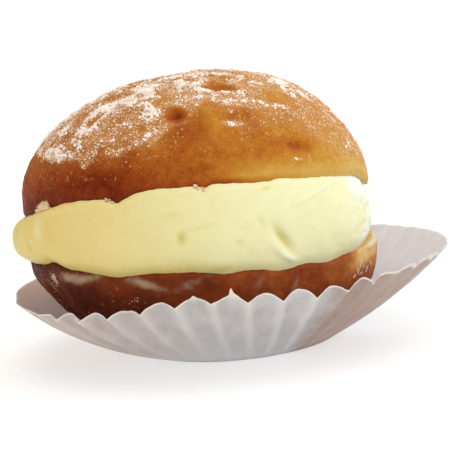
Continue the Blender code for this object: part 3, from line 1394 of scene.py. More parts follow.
    def dust_along(self, angle: Numbers) -> tuple[Numbers, Numbers]:
        """Read the dusting's table.

        Args:
            angle: Directions of the points.

        Returns:
            The elevation of its lower edge, and how much lies above it.
        """
        directions, edges, amounts = np.array(self.dust).T
        direction = np.degrees(angle) % 360.0
        edge = np.radians(np.interp(direction, directions, edges))
        return edge, np.interp(direction, directions, amounts)

    def dusted(self, places: Numbers, angle: Numbers, elevation: Numbers) -> Numbers:
        """How thick the finest sugar lies.

        Args:
            places: The points' places.
            angle: Their directions.
            elevation: Their elevation on the unit dome.

        Returns:
            0 for bare to about 1 for much.
        """
        around = self.arc * np.cos(elevation)
        edge, lying = self.dust_along(angle)
        edge += self.wandering.felt(places)
        lying *= ease(elevation, edge - deg(3.0), edge + deg(5.0))
        lying = np.maximum(lying, 0.105 * ease(elevation, deg(2.0), deg(7.0)))
        lying *= 1.0 + self.patchy.felt(places)
        lying += all_marks(self.sugared, angle, elevation * self.arc, around)
        return np.clip(lying, 0.0, 1.0)

    def sparse(self, angle: Numbers, elevation: Numbers) -> Numbers:
        """How thick the lone grains below the dusting's edge lie.

        Args:
            angle: Directions of the points.
            elevation: Their elevation on the unit dome.

        Returns:
            0 for none to 0.4 for most.
        """
        edge, _ = self.dust_along(angle)
        most = 0.20 + self.lone_grains.felt(angle)
        return most * ease(elevation, edge - deg(15.0), edge - deg(1.0))

    def sugar(self, places: Numbers, dusted: Numbers) -> Numbers:
        """How thick the sugar lies in clumps.

        Args:
            places: The points' places.
            dusted: How thick the finest sugar lies there.

        Returns:
            0 for none to about 1 for covered.
        """
        lying = dusted * (0.72 + self.clumped.felt(places))
        lying += ease(lying, 0.25, 0.7) * self.clotted.felt(places)
        return np.clip(lying, 0.0, 1.2)

    def torn(self, angle: Numbers, above: Numbers) -> Numbers:
        """Where the crust's edge is torn and pale bread shows.

        Args:
            angle: Directions of the points.
            above: How far they are above the edge.

        Returns:
            0 for crust to 1 for bread.
        """
        line = 0.10 * bell(above, 0.3 * MM)
        left = bell(turn_from(angle, deg(214.5)), deg(4.0)) * bell(above - 0.9 * MM, 1.2 * MM)
        bump = bell(turn_from(angle, deg(272.8)), deg(1.6)) * bell(above, 0.7 * MM)
        notch = bell(turn_from(angle, deg(244.5)), deg(2.2)) * bell(above, 0.4 * MM)
        return np.clip(line + left + 0.7 * bump + 0.6 * notch, 0.0, 1.0)

    def build(self) -> bpy.types.Object:
        """Build and dress the upper half.

        Returns:
            The piece.
        """
        piece = make_piece(
            "upper_half", self.blank(), self.shape, UpperCrust().material(), deg(60.0)
        )
        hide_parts("doughnut_top")
        return piece


# ---- sugar ----------------------------------------------------------------------------
class SugarForm(Enum):
    """The forms that sugar lies in."""

    GRAIN = "sugar_grains"
    CLUMP = "sugar_clumps"


@dataclass(frozen=True)
class Strewn:
    """One kind of sugar and how it lies.

    Attributes:
        form: Its form.
        count: How many there are.
        size: Least and greatest half-width.
        flat: Height as a share of the width.
        lies_by: The crust's mark that says how much sugar lies there.
        least: Amount of that mark under which none lies.
        power: How strongly they keep to where the sugar is thick.
        finish: Its finish.
    """

    form: SugarForm
    count: int
    size: tuple[float, float]
    flat: float
    lies_by: str
    least: float
    power: float
    finish: SugarFinish

    def seedling(self) -> bmesh.types.BMesh:
        """Make one of them, one unit in half-width.

        Returns:
            Its mesh.
        """
        made = bmesh.new()
        if self.form is SugarForm.GRAIN:
            bmesh.ops.create_uvsphere(made, u_segments=4, v_segments=2, radius=1.0)
        else:
            bmesh.ops.create_icosphere(made, subdivisions=1, radius=1.0)
        made.verts.index_update()
        return made


@dataclass
class Sugar:
    """Grains and small clumps of fine sugar that lie on the upper crust."""

    crust: bpy.types.Object
    seed: int = 11
    # How uneven each is, how far it may be tipped, and how far it stands out of the crust
    uneven: float = 0.35
    tipped: float = 1.6
    raised: float = 0.45
    kinds: tuple[Strewn, ...] = (
        Strewn(
            SugarForm.GRAIN, 20000, (0.11 * MM, 0.26 * MM), 0.95, "dusted", 0.30, 1.2,
            SugarFinish("grain_sugar", (0.93, 0.81, 0.69), (0.86, 0.60, 0.38)),
        ),
        Strewn(
            SugarForm.CLUMP, 7500, (0.18 * MM, 0.44 * MM), 0.75, "sugar", 0.32, 1.8,
            SugarFinish("clump_sugar", (0.96, 0.90, 0.85), (0.93, 0.80, 0.68)),
        ),
    )

    def chosen(self, kind: Strewn, draw: np.random.Generator) -> tuple[Numbers, Numbers]:
        """Choose places on the crust, more where more sugar lies.

        Args:
            kind: The kind of sugar.
            draw: Source of the random draws.

        Returns:
            The places, and the crust's outward direction at each.
        """
        mesh = self.crust.data
        mesh.calc_loop_triangles()
        corners = column(mesh.loop_triangles, "vertices", 3).astype(int)
        points = column(mesh.vertices, "co", 3)
        thick = column(mesh.attributes[kind.lies_by].data, "value", 1)[:, 0]
        first, second, third = (points[corners[:, n]] for n in range(3))
        normals = np.cross(second - first, third - first)
        area = np.linalg.norm(normals, axis=1)
        weight = np.clip(thick[corners].mean(axis=1) - kind.least, 0.0, 1.0) ** kind.power * area
        picked = draw.choice(len(corners), kind.count, p=weight / weight.sum())
        one, two = draw.random(kind.count), draw.random(kind.count)
        over = one + two > 1.0
        one[over], two[over] = 1.0 - one[over], 1.0 - two[over]
        start = first[picked]
        spots = start + one[:, None] * (second[picked] - start)
        spots += two[:, None] * (third[picked] - start)
        return spots, normals[picked] / area[picked][:, None]

    def strewn(self, kind: Strewn, draw: np.random.Generator) -> bpy.types.Object:
        """Strew copies of one small form over the crust, joined in one mesh.

        Args:
            kind: The kind of sugar.
            draw: Source of the random draws.

        Returns:
            The piece.
        """
        seedling = kind.seedling()
        form = np.array([vert.co for vert in seedling.verts])
        faces = np.array([[vert.index for vert in face.verts] for face in seedling.faces])
        seedling.free()
        count = kind.count
        spots, normals = self.chosen(kind, draw)
        half = kind.size[0] + (kind.size[1] - kind.size[0]) * draw.random(count) ** 2
        local = form[None] * (1.0 + self.uneven * (draw.random((count, len(form), 3)) - 0.5))
        local *= half[:, None, None]
        turns = [Matrix.Rotation(a, 3, "Z") for a in draw.random(count) * 2.0 * math.pi]
        tips = self.tipped * (draw.random((count, 2)) - 0.5)
        squash = Matrix.Diagonal((1.0, 1.0, kind.flat))
        lift = (half * self.raised * kind.flat)[:, None] * normals
        places = np.empty_like(local)
        for n in range(count):
            rest = Vector(normals[n]).to_track_quat("Z", "Y").to_matrix()
            tip = Matrix.Rotation(tips[n, 0], 3, "X") @ Matrix.Rotation(tips[n, 1], 3, "Y")
            turn = np.array(rest @ squash @ tip @ turns[n])
            places[n] = local[n] @ turn.T + spots[n] + lift[n]
        name = kind.form.value
        mesh = bpy.data.meshes.new(name)
        joined = faces[None] + np.arange(count)[:, None, None] * len(form)
        corners = joined.reshape(-1, faces.shape[1]).tolist()
        mesh.from_pydata(places.reshape(-1, 3).tolist(), [], corners)
        mesh.update()
        piece = placed(name, mesh, kind.finish.material())
        return piece

    def build(self) -> list[bpy.types.Object]:
        """Strew the grains and the clumps."""
        draw = np.random.default_rng(self.seed)
        return [self.strewn(kind, draw) for kind in self.kinds]


# ---- cream ----------------------------------------------------------------------------
@dataclass
class Cream:
    """Thick cream between the halves: a lobe at the left, scraped back at the right."""

    form: DoughnutForm
    steps: int = 460
    rings: int = 120
    swell: float = 0.9 * MM
    # The lobe that hangs out, and how far back the other end was scraped
    lobe: Swell = Swell(deg(186.0), deg(27.0), 2.1 * MM)
    scraped_back: Swell = Swell(deg(-4.0), deg(24.0), 2.1 * MM)
    power: float = 2.6
    hang: float = 0.55 * MM
    hem: float = 0.45 * MM
    hem_reach: float = 0.35 * MM
    # How far it stays from the upper lip, from the cuts' edges and from the lower cut
    under_lip: float = 0.03 * MM
    set_back: float = 0.15 * MM
    above_cut: float = 0.1 * MM
    lumpy: tuple[Lumpy, ...] = (
        Lumpy(0.35 * MM, 13 * MM, 2, 7.0),
        Lumpy(0.10 * MM, 4 * MM, 2, 8.0),
    )
    # Where it was scraped rough, how rough, and the roll under the upper lip
    scraped_at: Swell = Swell(deg(-18.0), deg(20.0), 1.0)
    roughness: Lumpy = Lumpy(0.34 * MM, 2.2 * MM, 3, 9.0)
    roll: Swell = Swell(deg(230.0), deg(28.0), 0.30 * MM)
    # Where it tucks in under itself at the foot, and how strong the painted shade of deeper
    # yellow is there
    tuck: float = 0.9 * MM
    tuck_reach: float = 1.8 * MM
    foot_shade: float = 0.90
    foot_reach: float = 2.7 * MM
    # Dents and ridges of its side; the first three are the gouge and the curl below it
    dents: tuple[Mark, ...] = side_marks(
        MM,
        (295.6, 30.8, 3.4, 1.0, -58.0, -1.5),
        (293.6, 28.4, 3.0, 0.9, -50.0, 0.45),
        (297.4, 25.8, 2.0, 0.8, -32.0, 0.8),
        (265.2, 33.8, 0.9, 1.5, -12.0, -0.85),
        (271.0, 35.8, 2.4, 0.45, 10.0, -0.28),
        (308.5, 39.6, 7.5, 0.32, 13.0, 0.24),
        (206.4, 32.6, 1.3, 3.4, 8.0, -0.62),
        (215.0, 36.4, 2.3, 4.0, 6.0, 0.65),
        (209.4, 33.6, 1.1, 0.9, -20.0, 0.55),
        (206.8, 39.6, 1.2, 0.9, 0.0, -0.9),
        (220.0, 35.0, 3.0, 4.0, 0.0, -0.30),
        (194.0, 33.0, 4.0, 4.5, 0.0, 0.35),
        (292.0, 42.8, 1.3, 0.5, 6.0, -0.25),
        (263.0, 39.4, 2.2, 0.4, 4.0, -0.18),
        (281.8, 31.4, 0.8, 0.6, 0.0, -0.20),
        (288.8, 35.6, 1.6, 0.5, -60.0, -0.25),
        (236.0, 33.0, 6.0, 5.0, 0.0, 0.35),
        (252.0, 35.0, 6.0, 5.0, 0.0, -0.35),
        (281.0, 33.0, 6.0, 6.0, 0.0, 0.25),
        (318.0, 32.0, 7.0, 6.0, 0.0, 0.30),
        (343.0, 38.5, 3.0, 2.0, 30.0, -0.7),
        (336.0, 28.5, 4.0, 1.4, 40.0, -0.5),
    )
    # Places that are scraped or whipped pale, some of them painted highlights (the left ridge,
    # the curl below the gouge, the light line, the right end), and then the painted shade of
    # deeper yellow
    scrapes_and_highlights: tuple[Mark, ...] = side_marks(
        PLAIN,
        (215.0, 36.8, 2.0, 3.8, 6.0, 0.62),
        (209.4, 33.7, 1.2, 0.8, -20.0, 0.7),
        (296.4, 26.6, 3.0, 1.0, -40.0, 0.85),
        (308.5, 39.6, 7.5, 0.36, 13.0, 0.50),
        (331.0, 37.5, 4.6, 4.4, 0.0, 0.62),
        (343.0, 36.0, 3.0, 5.0, 0.0, 0.8),
        (338.0, 27.5, 5.0, 1.2, 40.0, 0.7),
    )
    shaded_hollows: tuple[Mark, ...] = side_marks(
        PLAIN,
        (295.8, 30.8, 3.6, 0.9, -58.0, 0.75),
        (265.2, 33.9, 0.8, 1.4, -12.0, 0.8),
        (292.0, 42.8, 1.3, 0.6, 6.0, 0.55),
        (263.0, 39.4, 2.4, 0.6, 4.0, 0.28),
        (271.2, 35.7, 2.2, 0.4, 8.0, 0.22),
        (281.8, 31.4, 0.9, 0.8, 0.0, 0.30),
        (288.8, 35.6, 1.8, 0.7, -60.0, 0.30),
        (276.3, 26.0, 2.2, 0.9, 0.0, 0.45),
        (206.6, 33.2, 1.2, 3.6, 8.0, 0.5),
        (194.0, 34.0, 6.0, 6.0, 0.0, 0.45),
        (221.0, 36.0, 3.0, 3.0, 0.0, 0.25),
    )

    def blank(self) -> bmesh.types.BMesh:
        """Turn a unit drum: lower face, side and upper face.

        Returns:
            The blank.
        """
        faces = (0.0, 0.5, 0.9, 0.975)
        profile = [(share, -1.0) for share in faces]
        for ring in range(self.rings + 1):
            profile.append((1.0, -math.cos(math.pi * ring / self.rings)))
        profile += [(share, 1.0) for share in reversed(faces)]
        return turned(profile, self.steps)

    def shape(self, spots: Numbers) -> Shaped:
        """Place the points of the unit drum and give them their marks.

        Args:
            spots: Points of the blank.

        Returns:
            Places and marks.
        """
        form = self.form
        angle, level, z = polar(spots)
        on_side = level > 1.0 - NEAR
        upper_lip, lower_lip = form.upper_lip(angle), form.lower_lip(angle)
        back = self.scraped_back.felt(angle)
        kept = 1.0 - np.clip(back / self.scraped_back.height, 0.0, 1.0)
        low = lower_lip - self.hang * kept + (form.gap * (1.0 - kept))
        high = upper_lip - self.under_lip
        rise = 0.5 + 0.5 * z
        height = mix(low, high, rise)
        edge = mix(form.bottom_radius(angle), form.top_radius, rise)
        edge -= back + self.set_back + form.lip_round * bell(1.0 - rise, 0.03)
        swell = (self.swell + self.lobe.felt(angle)) * (1.0 - np.abs(z) ** self.power)
        swell += self.hem * (1.0 - np.exp(-(height - low) / self.hem_reach))
        around = form.top_radius
        relief = all_marks(self.dents, angle, height, around)
        side = form.at(angle, edge, height)
        for layer in self.lumpy:
            relief += layer.felt(side)
        rough = self.scraped_at.felt(angle)
        relief += rough * self.roughness.felt(side)
        fade = np.clip(FADE * np.minimum(rise, 1.0 - rise), 0.0, 1.0)
        roll = self.roll.felt(angle) * bell(high - height - 0.9 * MM, 0.8 * MM)
        tuck = self.tuck * bell(height - low, self.tuck_reach)
        places = form.at(angle, edge + swell + relief * fade + roll - tuck, height)
        # The faces lie on the two cuts; the lowest part of the side hangs over the crust.
        inner = form.bottom_radius(angle) - form.lip_round
        flat = level * mix(inner, form.top_radius - form.lip_round, rise)
        cut = mix(
            mix(form.lower_cut, lower_lip, level) + self.above_cut,
            mix(form.upper_cut, upper_lip, level) - self.under_lip,
            rise,
        )
        faces = form.at(angle, flat - back * level, cut)
        places[~on_side] = faces[~on_side]
        # Painted shade: deeper yellow in the dents, grooves and folds
        hollow = all_marks(self.shaded_hollows, angle, height, around)
        # Painted shade: deeper yellow at the foot, where the side turns under, mostly towards
        # the left
        foot = self.foot_shade * bell(height - low, self.foot_reach)
        hollow += foot * ease(np.cos(angle), 0.6, -0.2)
        # The rough right end is also painted whitish, as its highlight
        scraped = rough * (0.25 + 0.75 * ease(np.abs(z), 0.3, 0.9))
        scraped += all_marks(self.scrapes_and_highlights, angle, height, around)
        return Shaped(places, {"hollow": hollow, "scraped": scraped})

    def build(self) -> bpy.types.Object:
        """Build and dress the cream.

        Returns:
            The piece.
        """
        piece = make_piece("cream", self.blank(), self.shape, Custard().material(), deg(70.0))
        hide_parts("cream_layer")
        return piece


# ---- lower half -----------------------------------------------------------------------
@dataclass
class LowerHalf:
    """The lower half: a darker rounded bottom, squarer on the right."""

    form: DoughnutForm
    steps: int = 600
    rings: int = 130
    reach: float = -0.8 * MM
    power_left: float = 1.62
    power_right: float = 2.5
    power_turn: float = 0.515
    # Where its side is straighter: by how much, at what height and how far from there
    straight: Swell = Swell(deg(203.0), deg(30.0), 0.3 * MM)
    straight_at: float = 11.0 * MM
    straight_reach: float = 6.5 * MM
    rest: float = 0.7 * MM
    lumpy: tuple[Lumpy, ...] = (
        Lumpy(0.45 * MM, 8 * MM, 2, 10.0),
        Lumpy(0.13 * MM, 2.6 * MM, 3, 11.0),
    )
    flake_height: float = 0.25 * MM
    # The palest direction, and the browning opposite it and in it
    palest: float = deg(330.0)
    darkest_tone: float = 0.98
    palest_tone: float = 0.47
    # Thin smears of cream, pale specks, blisters, cream left under the cut, paler crust,
    # pale flakes, and cracks
    smears: tuple[Mark, ...] = side_marks(
        PLAIN,
        (226.0, 25.3, 5.6, 1.5, -4.0, 1.15),
        (236.0, 26.0, 4.4, 0.9, 10.0, 0.8),
        (251.5, 24.2, 4.6, 1.4, -24.0, 0.85),
        (255.0, 23.2, 3.0, 0.8, -12.0, 0.5),
        (265.5, 22.8, 3.6, 1.2, 14.0, 0.75),
        (274.0, 24.6, 4.0, 0.9, 0.0, 0.3),
        (287.0, 21.5, 2.4, 1.6, 50.0, 0.42),
        (299.0, 19.5, 2.8, 0.8, 62.0, 0.66),
        (352.0, 23.6, 5.0, 1.2, 20.0, 0.5),
    )
    specked: tuple[Mark, ...] = side_marks(
        PLAIN,
        (214.5, 24.6, 1.7, 1.9, -30.0, 1.5),
        (211.0, 22.5, 3.2, 4.2, -30.0, 0.95),
        (248.5, 19.8, 3.4, 2.0, 0.0, 1.0),
        (240.0, 22.2, 2.6, 1.5, 0.0, 0.8),
        (231.0, 16.0, 4.5, 2.5, 0.0, 0.8),
    )
    blistered: tuple[Mark, ...] = side_marks(
        PLAIN,
        (206.0, 21.5, 4.5, 7.0, 0.0, 0.75),
        (222.0, 17.0, 8.0, 4.0, 0.0, 0.35),
        (246.0, 20.0, 8.0, 3.5, 0.0, 0.30),
    )
    left_over: tuple[Mark, ...] = side_marks(
        PLAIN,
        (342.0, 24.1, 4.5, 1.5, 8.0, 1.5),
        (355.0, 23.6, 7.0, 2.2, 0.0, 1.9),
    )
    pale: tuple[Mark, ...] = side_marks(
        PLAIN,
        (345.0, 24.0, 13.0, 3.0, 8.0, 0.62),
        (333.0, 21.5, 9.0, 2.6, 12.0, 0.25),
        (345.0, 18.5, 6.0, 3.5, 0.0, 0.22),
        (204.0, 20.5, 5.5, 6.0, 0.0, 0.17),
        (20.0, 24.0, 16.0, 3.0, 0.0, 0.6),
    )
    flakes: tuple[Mark, ...] = side_marks(
        PLAIN,
        (325.2, 17.4, 0.9, 0.42, 30.0, 1.0),
        (327.0, 18.6, 1.2, 0.36, 118.0, 1.0),
        (328.8, 19.8, 1.3, 0.38, 64.0, 1.1),
        (329.6, 17.6, 1.0, 0.40, 10.0, 1.0),
        (331.6, 18.8, 1.3, 0.36, 130.0, 1.0),
        (333.4, 20.4, 1.4, 0.38, 80.0, 1.1),
        (334.4, 18.0, 1.2, 0.40, 48.0, 1.1),
        (336.8, 19.4, 1.3, 0.36, 122.0, 1.0),
        (339.4, 18.4, 1.2, 0.36, 70.0, 0.9),
    )
    cracks: tuple[Mark, ...] = side_marks(
        MM,
        (335.0, 20.0, 1.6, 0.28, 75.0, -0.5),
        (338.5, 19.4, 1.8, 0.28, 115.0, -0.6),
        (342.0, 20.6, 1.6, 0.28, 60.0, -0.5),
        (345.5, 19.4, 1.8, 0.28, 100.0, -0.6),
        (332.0, 18.2, 1.4, 0.28, 130.0, -0.4),
        (205.0, 22.5, 3.4, 0.5, -55.0, -0.45),
        (209.0, 20.5, 3.4, 0.5, -50.0, -0.45),
        (203.0, 25.0, 2.0, 0.5, 20.0, -0.40),
        (215.0, 22.0, 3.0, 0.5, -35.0, -0.35),
    )

    def blank(self) -> bmesh.types.BMesh:
        """Turn a unit bowl under a flat disc.

        Returns:
            The blank.
        """
        profile = [(share, 0.0) for share in (0.0, 0.5, 0.9, 0.975)]
        for ring in range(self.rings + 1):
            drop = 0.5 * math.pi * (ring / self.rings) ** 1.15
            profile.append((math.cos(drop), -math.sin(drop)))
        profile[-1] = (0.0, -1.0)
        return turned(profile, self.steps)

    def shape(self, spots: Numbers) -> Shaped:
        """Place the points of the unit bowl and give them their marks.

        Args:
            spots: Points of the blank.

        Returns:
            Places and marks.
        """
        form = self.form
        angle, level, z = polar(spots)
        on_cut = (z > -HAIR) & (level < 1.0 - NEAR)
        depth = np.clip(-z, 0.0, 1.0)
        lip = form.lower_lip(angle)
        share = (0.5 + 0.5 * np.cos(angle)) ** self.power_turn
        power = mix(self.power_left, self.power_right, share)
        radius = form.bottom_radius(angle) * level ** (2.0 / power)
        height = mix(lip, self.reach, depth ** (2.0 / power))
        below = lip - height
        straight = bell(height - self.straight_at, self.straight_reach)
        radius += self.straight.felt(angle) * straight
        radius -= form.lip_round * (1.0 - ease(below, 0.0, 1.1 * MM)) ** 2
        places = form.at(angle, radius, height)
        around = form.top_radius
        relief = sum(layer.felt(places) for layer in self.lumpy)
        relief += all_marks(self.cracks, angle, height, around)
        relief += self.flake_height * all_marks(self.flakes, angle, height, around)
        relief *= ease(height, 1.0 * MM, 6.0 * MM) * np.clip(below / (1.5 * MM), 0.0, 1.0)
        outward = stacked(level * np.cos(angle), level * np.sin(angle), z)
        places += outward * relief[:, None]
        places[:, 2] = np.maximum(places[:, 2], self.rest)
        flat = level * (form.bottom_radius(angle) - form.lip_round)
        cut = form.at(angle, flat, mix(form.lower_cut, lip, level))
        places[on_cut] = cut[on_cut]
        side = 0.5 + 0.5 * np.cos(turn_from(angle, self.palest))
        browning = mix(self.darkest_tone, self.palest_tone, side)
        browning -= all_marks(self.pale, angle, height, around)
        # Darker towards the bottom, and painted shade in the cracks on the pale side
        crack_shade = -all_marks(self.cracks, angle, height, around) / MM
        browning += 0.12 * ease(height, 16 * MM, 4 * MM) + 0.25 * side * crack_shade
        spotted = {
            "smear": self.smears,
            "specks": self.specked,
            "blisters": self.blistered,
            "residue": self.left_over,
            "flakes": self.flakes,
        }
        marks = {
            name: all_marks(places_marked, angle, height, around) * ~on_cut
            for name, places_marked in spotted.items()
        }
        marks["browning"] = np.where(on_cut, 0.0, browning)
        return Shaped(places, marks)

    def build(self) -> bpy.types.Object:
        """Build and dress the lower half.

        Returns:
            The piece.
        """
        piece = make_piece(
            "lower_half", self.blank(), self.shape, LowerCrust().material(), deg(60.0)
        )
        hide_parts("doughnut_bottom")
        return piece


# ---- crumbs ---------------------------------------------------------------------------
@dataclass
class Crumbs:
    """Torn crumbs that stick where the upper crust meets the cream."""

    form: DoughnutForm
    seed: int = 5
    # How far out they stick, how far up and down they scatter, and how lumpy they are
    out: float = 0.1 * MM
    scatter: float = 0.9
    lumpiness: float = 0.7
    squashed: Triple = (1.0, 0.8, 0.7)
    # Each group: direction, reach, height above the lip, how many, half-width, browning
    groups: tuple[tuple[float, float, float, int, float, float], ...] = (
        (214.6, 3.8, 0.5, 26, 0.64, 0.0),
        (200.5, 3.5, -0.4, 9, 0.55, 0.9),
        (243.6, 2.2, 0.1, 6, 0.32, 0.25),
        (272.4, 1.7, 0.0, 7, 0.42, 0.0),
    )

    def build(self) -> bpy.types.Object:
        """Build the crumbs as one joined mesh.

        Returns:
            The piece.
        """
        draw = np.random.default_rng(self.seed)
        heap = bmesh.new()
        browned: list[float] = []
        for direction, reach, above, count, half, browning in self.groups:
            for _ in range(count):
                turn, up, size, shade = draw.random(4)
                angle = np.array([deg(direction + reach * (2.0 * turn - 1.0))])
                lip = self.form.upper_lip(angle)[0]
                height = lip + (above + self.scatter * (up - 0.5)) * MM
                spot = self.form.at(angle, self.form.top_radius + self.out, height)[0]
                width = half * MM * (0.5 + 0.7 * size)
                grown = bmesh.ops.create_icosphere(heap, subdivisions=2, radius=width)["verts"]
                uneven = draw.random(3) * 20.0
                for vert in grown:
                    bump = noise.noise(vert.co * (1.3 / width) + Vector(uneven))
                    vert.co *= 1.0 + self.lumpiness * bump
                bmesh.ops.scale(heap, vec=self.squashed, verts=grown)
                bmesh.ops.translate(heap, vec=Vector(spot), verts=grown)
                browned += [browning + 0.3 * (shade - 0.5)] * len(grown)
        mesh = bpy.data.meshes.new("crumbs")
        heap.to_mesh(mesh)
        heap.free()
        mesh.shade_smooth()
        layer = mesh.attributes.new("browning", "FLOAT", "POINT")
        layer.data.foreach_set("value", np.array(browned, np.float32))
        piece = placed("crumbs", mesh, BreadFinish().material())
        return piece


# ---- paper case -----------------------------------------------------------------------
@dataclass
class PaperCase:
    """The fluted paper case: a flat base and a pleated wall that flares and curls."""

    thickness: float = 0.2 * MM
    base_radius: float = 24.8 * MM
    wall: float = 36.2 * MM
    pleats: int = 43
    steps_per_pleat: int = 24
    rings: int = 40
    pleat_depth: float = 2.1 * MM
    uneven: float = 0.22
    # How the sheet buckles and crinkles, and how far its cut edge wanders
    buckled: Lumpy = Lumpy(0.25 * MM, 7 * MM, 3, 13.0)
    crinkled: Lumpy = Lumpy(0.06 * MM, 1.8 * MM, 2, 14.0)
    edge_wander: float = 0.3 * MM
    edge_size: float = 2.6 * MM
    # Marks of the paper: grease at the left, a smudge, the right wing painted whiter as if lit,
    # and where the painted rim highlight is broader
    greased: Swell = Swell(deg(180.0), deg(30.0), 1.0)
    smudged: Swell = Swell(deg(228.0), deg(22.0), 0.22)
    lit_wing: Swell = Swell(deg(24.0), deg(36.0), 0.85)
    broad_rim_highlight: Swell = Swell(deg(328.0), deg(18.0), 1.0)
    # Where the pleats are pressed flat: direction, how far they are, where it ends, how much
    flat_sides: tuple[tuple[float, float, float, float], ...] = (
        (deg(186.0), deg(24.0), deg(40.0), 0.94),
        (deg(8.0), deg(52.0), deg(73.0), 0.76),
    )
    # Where the cut edge is ragged
    ragged_at: Swell = Swell(deg(326.0), deg(20.0), 0.85 * MM)
    # Where the pleats only show near the rim, and where they lean to one side
    late: Swell = Swell(deg(238.0), deg(34.0), 1.3)
    leaning: Swell = Swell(deg(290.0), deg(19.0), deg(3.5))
    # How far the pleats stray to the side, and where they are moved
    drift: float = deg(0.7)
    moved: Swell = Swell(deg(293.0), deg(13.0), deg(1.4))
    # How the first pleat is turned, and the share of a pleat that folds inwards
    turn: float = deg(3.5)
    middle: float = 0.3
    # Slope of the wall at its foot and rim, and where it is steeper and curls up
    foot_angle: float = deg(22.5)
    rim_angle: float = deg(41.0)
    steeper: float = deg(3.2)
    steeper_at: float = deg(-30.0)
    curl: float = deg(5.8)
    curl_at: float = deg(29.0)
    pressed: tuple[Swell, ...] = edge_swells(
        deg(1.0),
        (296.0, 13.0, -3.2),
        (258.0, 15.0, 3.5),
        (226.0, 16.0, -4.5),
    )
    # Longer tips with cream on them, and then the other long and short tips
    creamy_tips: tuple[Swell, ...] = edge_swells(
        MM,
        (267.8, 0.42, 3.3),
        (268.4, 1.1, 1.1),
        (258.9, 0.55, 0.9),
    )
    nicks: tuple[Swell, ...] = edge_swells(
        MM,
        (242.8, 2.6, -0.8),
        (187.0, 7.0, -0.9),
        (296.8, 1.6, -0.9),
        (301.0, 1.2, 0.6),
        (305.2, 0.8, -1.3),
        (314.6, 0.8, -1.2),
        (322.0, 1.2, -1.0),
        (328.0, 0.9, 0.7),
        (337.0, 1.4, -0.7),
        (38.5, 1.6, 0.3),
        (271.4, 1.2, -0.5),
        (279.8, 1.3, -1.0),
        (288.4, 1.5, -1.6),
    )

    def blank(self) -> bmesh.types.BMesh:
        """Turn a flat round sheet: its under face at 0, its upper face at 1.

        Returns:
            The blank.
        """
        flat = [self.base_radius * share for share in (0.5, 0.8)]
        flat += [
            self.base_radius + self.wall * ring / self.rings for ring in range(self.rings + 1)
        ]
        profile = [(0.0, 0.0)] + [(radius, 0.0) for radius in flat]
        profile += [(radius, 1.0) for radius in reversed(flat)] + [(0.0, 1.0)]
        return turned(profile, self.pleats * self.steps_per_pleat)

    def tones(self, angle: Numbers, along: Numbers, upper: Numbers) -> dict[str, Numbers]:
        """Mark where the paper is greasy, where shade is painted on its right front, and how
        grey it is; it is painted whiter inside the lit right wing and near the foot.

        Args:
            angle: Directions of the points.
            along: How far up the wall they are, from 0 to 1.
            upper: 1 on the upper face and 0 on the under face.

        Returns:
            The marks by name.
        """
        # Painted shade on the outer face of the right front wall, which also adds grease colour
        # there
        dull = ease(turn_from(angle, deg(289.0)), 0.0, deg(11.0)) * (1.0 - upper)
        dull *= 1.25 * ease(turn_from(angle, deg(328.0)), deg(22.0), 0.0)
        stain = (0.5 + 0.95 * upper) * self.greased.felt(angle) + 0.45 * dull
        stain += self.smudged.felt(angle) * (1.0 - upper)
        # Painted light: less grey inside the right wing and near the foot
        grey = 0.85 - self.lit_wing.felt(angle) * upper - 0.45 * bell(along, 0.35)
        return {"stain": stain, "dull": dull, "grey": grey}

    def shape(self, spots: Numbers) -> Shaped:
        """Fold the flat sheet up into the fluted case.

        Args:
            spots: Points of the blank.

        Returns:
            Places and marks.
        """
        direction, flat, upper = polar(spots)
        on_base = flat < self.base_radius - HAIR
        wave = np.abs(np.sin(0.5 * self.pleats * direction))
        angle = direction + self.turn
        along = np.clip((flat - self.base_radius) / self.wall, 0.0, 1.0)
        ring = stacked(np.cos(angle), np.sin(angle), np.zeros_like(angle)) * 60 * MM
        flatter = np.ones_like(angle)
        for at, near, far, share in self.flat_sides:
            flatter -= share * ease(np.abs(turn_from(angle, at)), far, near)
        nick = along_edge(self.creamy_tips + self.nicks, angle)
        ragged = flatter * self.edge_wander + self.ragged_at.felt(angle)
        nick += ragged * lumps(ring, self.edge_size, 3, 12.0)
        length = along * (1.0 + nick / self.wall * along**8)
        lean = self.steeper * np.cos(angle - self.steeper_at)
        curl = self.curl * np.cos(2.0 * (angle - self.curl_at))
        rim = self.rim_angle + lean + curl + along_edge(self.pressed, angle)
        foot = self.foot_angle + lean - curl
        slope = mix(foot, rim, length)
        # The wall rises on an arc whose slope grows evenly from the foot to the rim.
        bend = self.wall / (rim - foot)
        radius = self.base_radius + bend * (np.sin(slope) - np.sin(foot))
        height = bend * (np.cos(foot) - np.cos(slope))
        uneven = 1.0 + self.uneven * np.sin(5.0 * angle + 0.6) * np.cos(8.0 * angle)
        uneven *= flatter
        late = self.late.felt(angle)
        inward = self.pleat_depth * uneven * along ** (1.0 + late) * (wave - self.middle)
        places = stacked(radius * np.cos(angle), radius * np.sin(angle), height)
        inward += along * flatter * self.buckled.felt(places)
        inward += along * self.crinkled.felt(places)
        inward += self.thickness * upper
        creased = along > NEAR
        radius -= np.where(creased, inward * np.sin(slope), 0.0)
        height = np.where(creased, height + inward * np.cos(slope), self.thickness * upper)
        height = np.maximum(height, self.thickness * upper)
        drift = self.drift * (np.sin(3.0 * angle + 1.0) + 0.6 * np.sin(7.0 * angle))
        turned_to = angle + (drift + self.moved.felt(angle)) * along
        turned_to += self.leaning.felt(angle) * (1.0 - along) * ease(along, 0.0, 0.02)
        places = stacked(radius * np.cos(turned_to), radius * np.sin(turned_to), height)
        base = stacked(spots[:, 0], spots[:, 1], self.thickness * upper)
        places[on_base] = base[on_base]
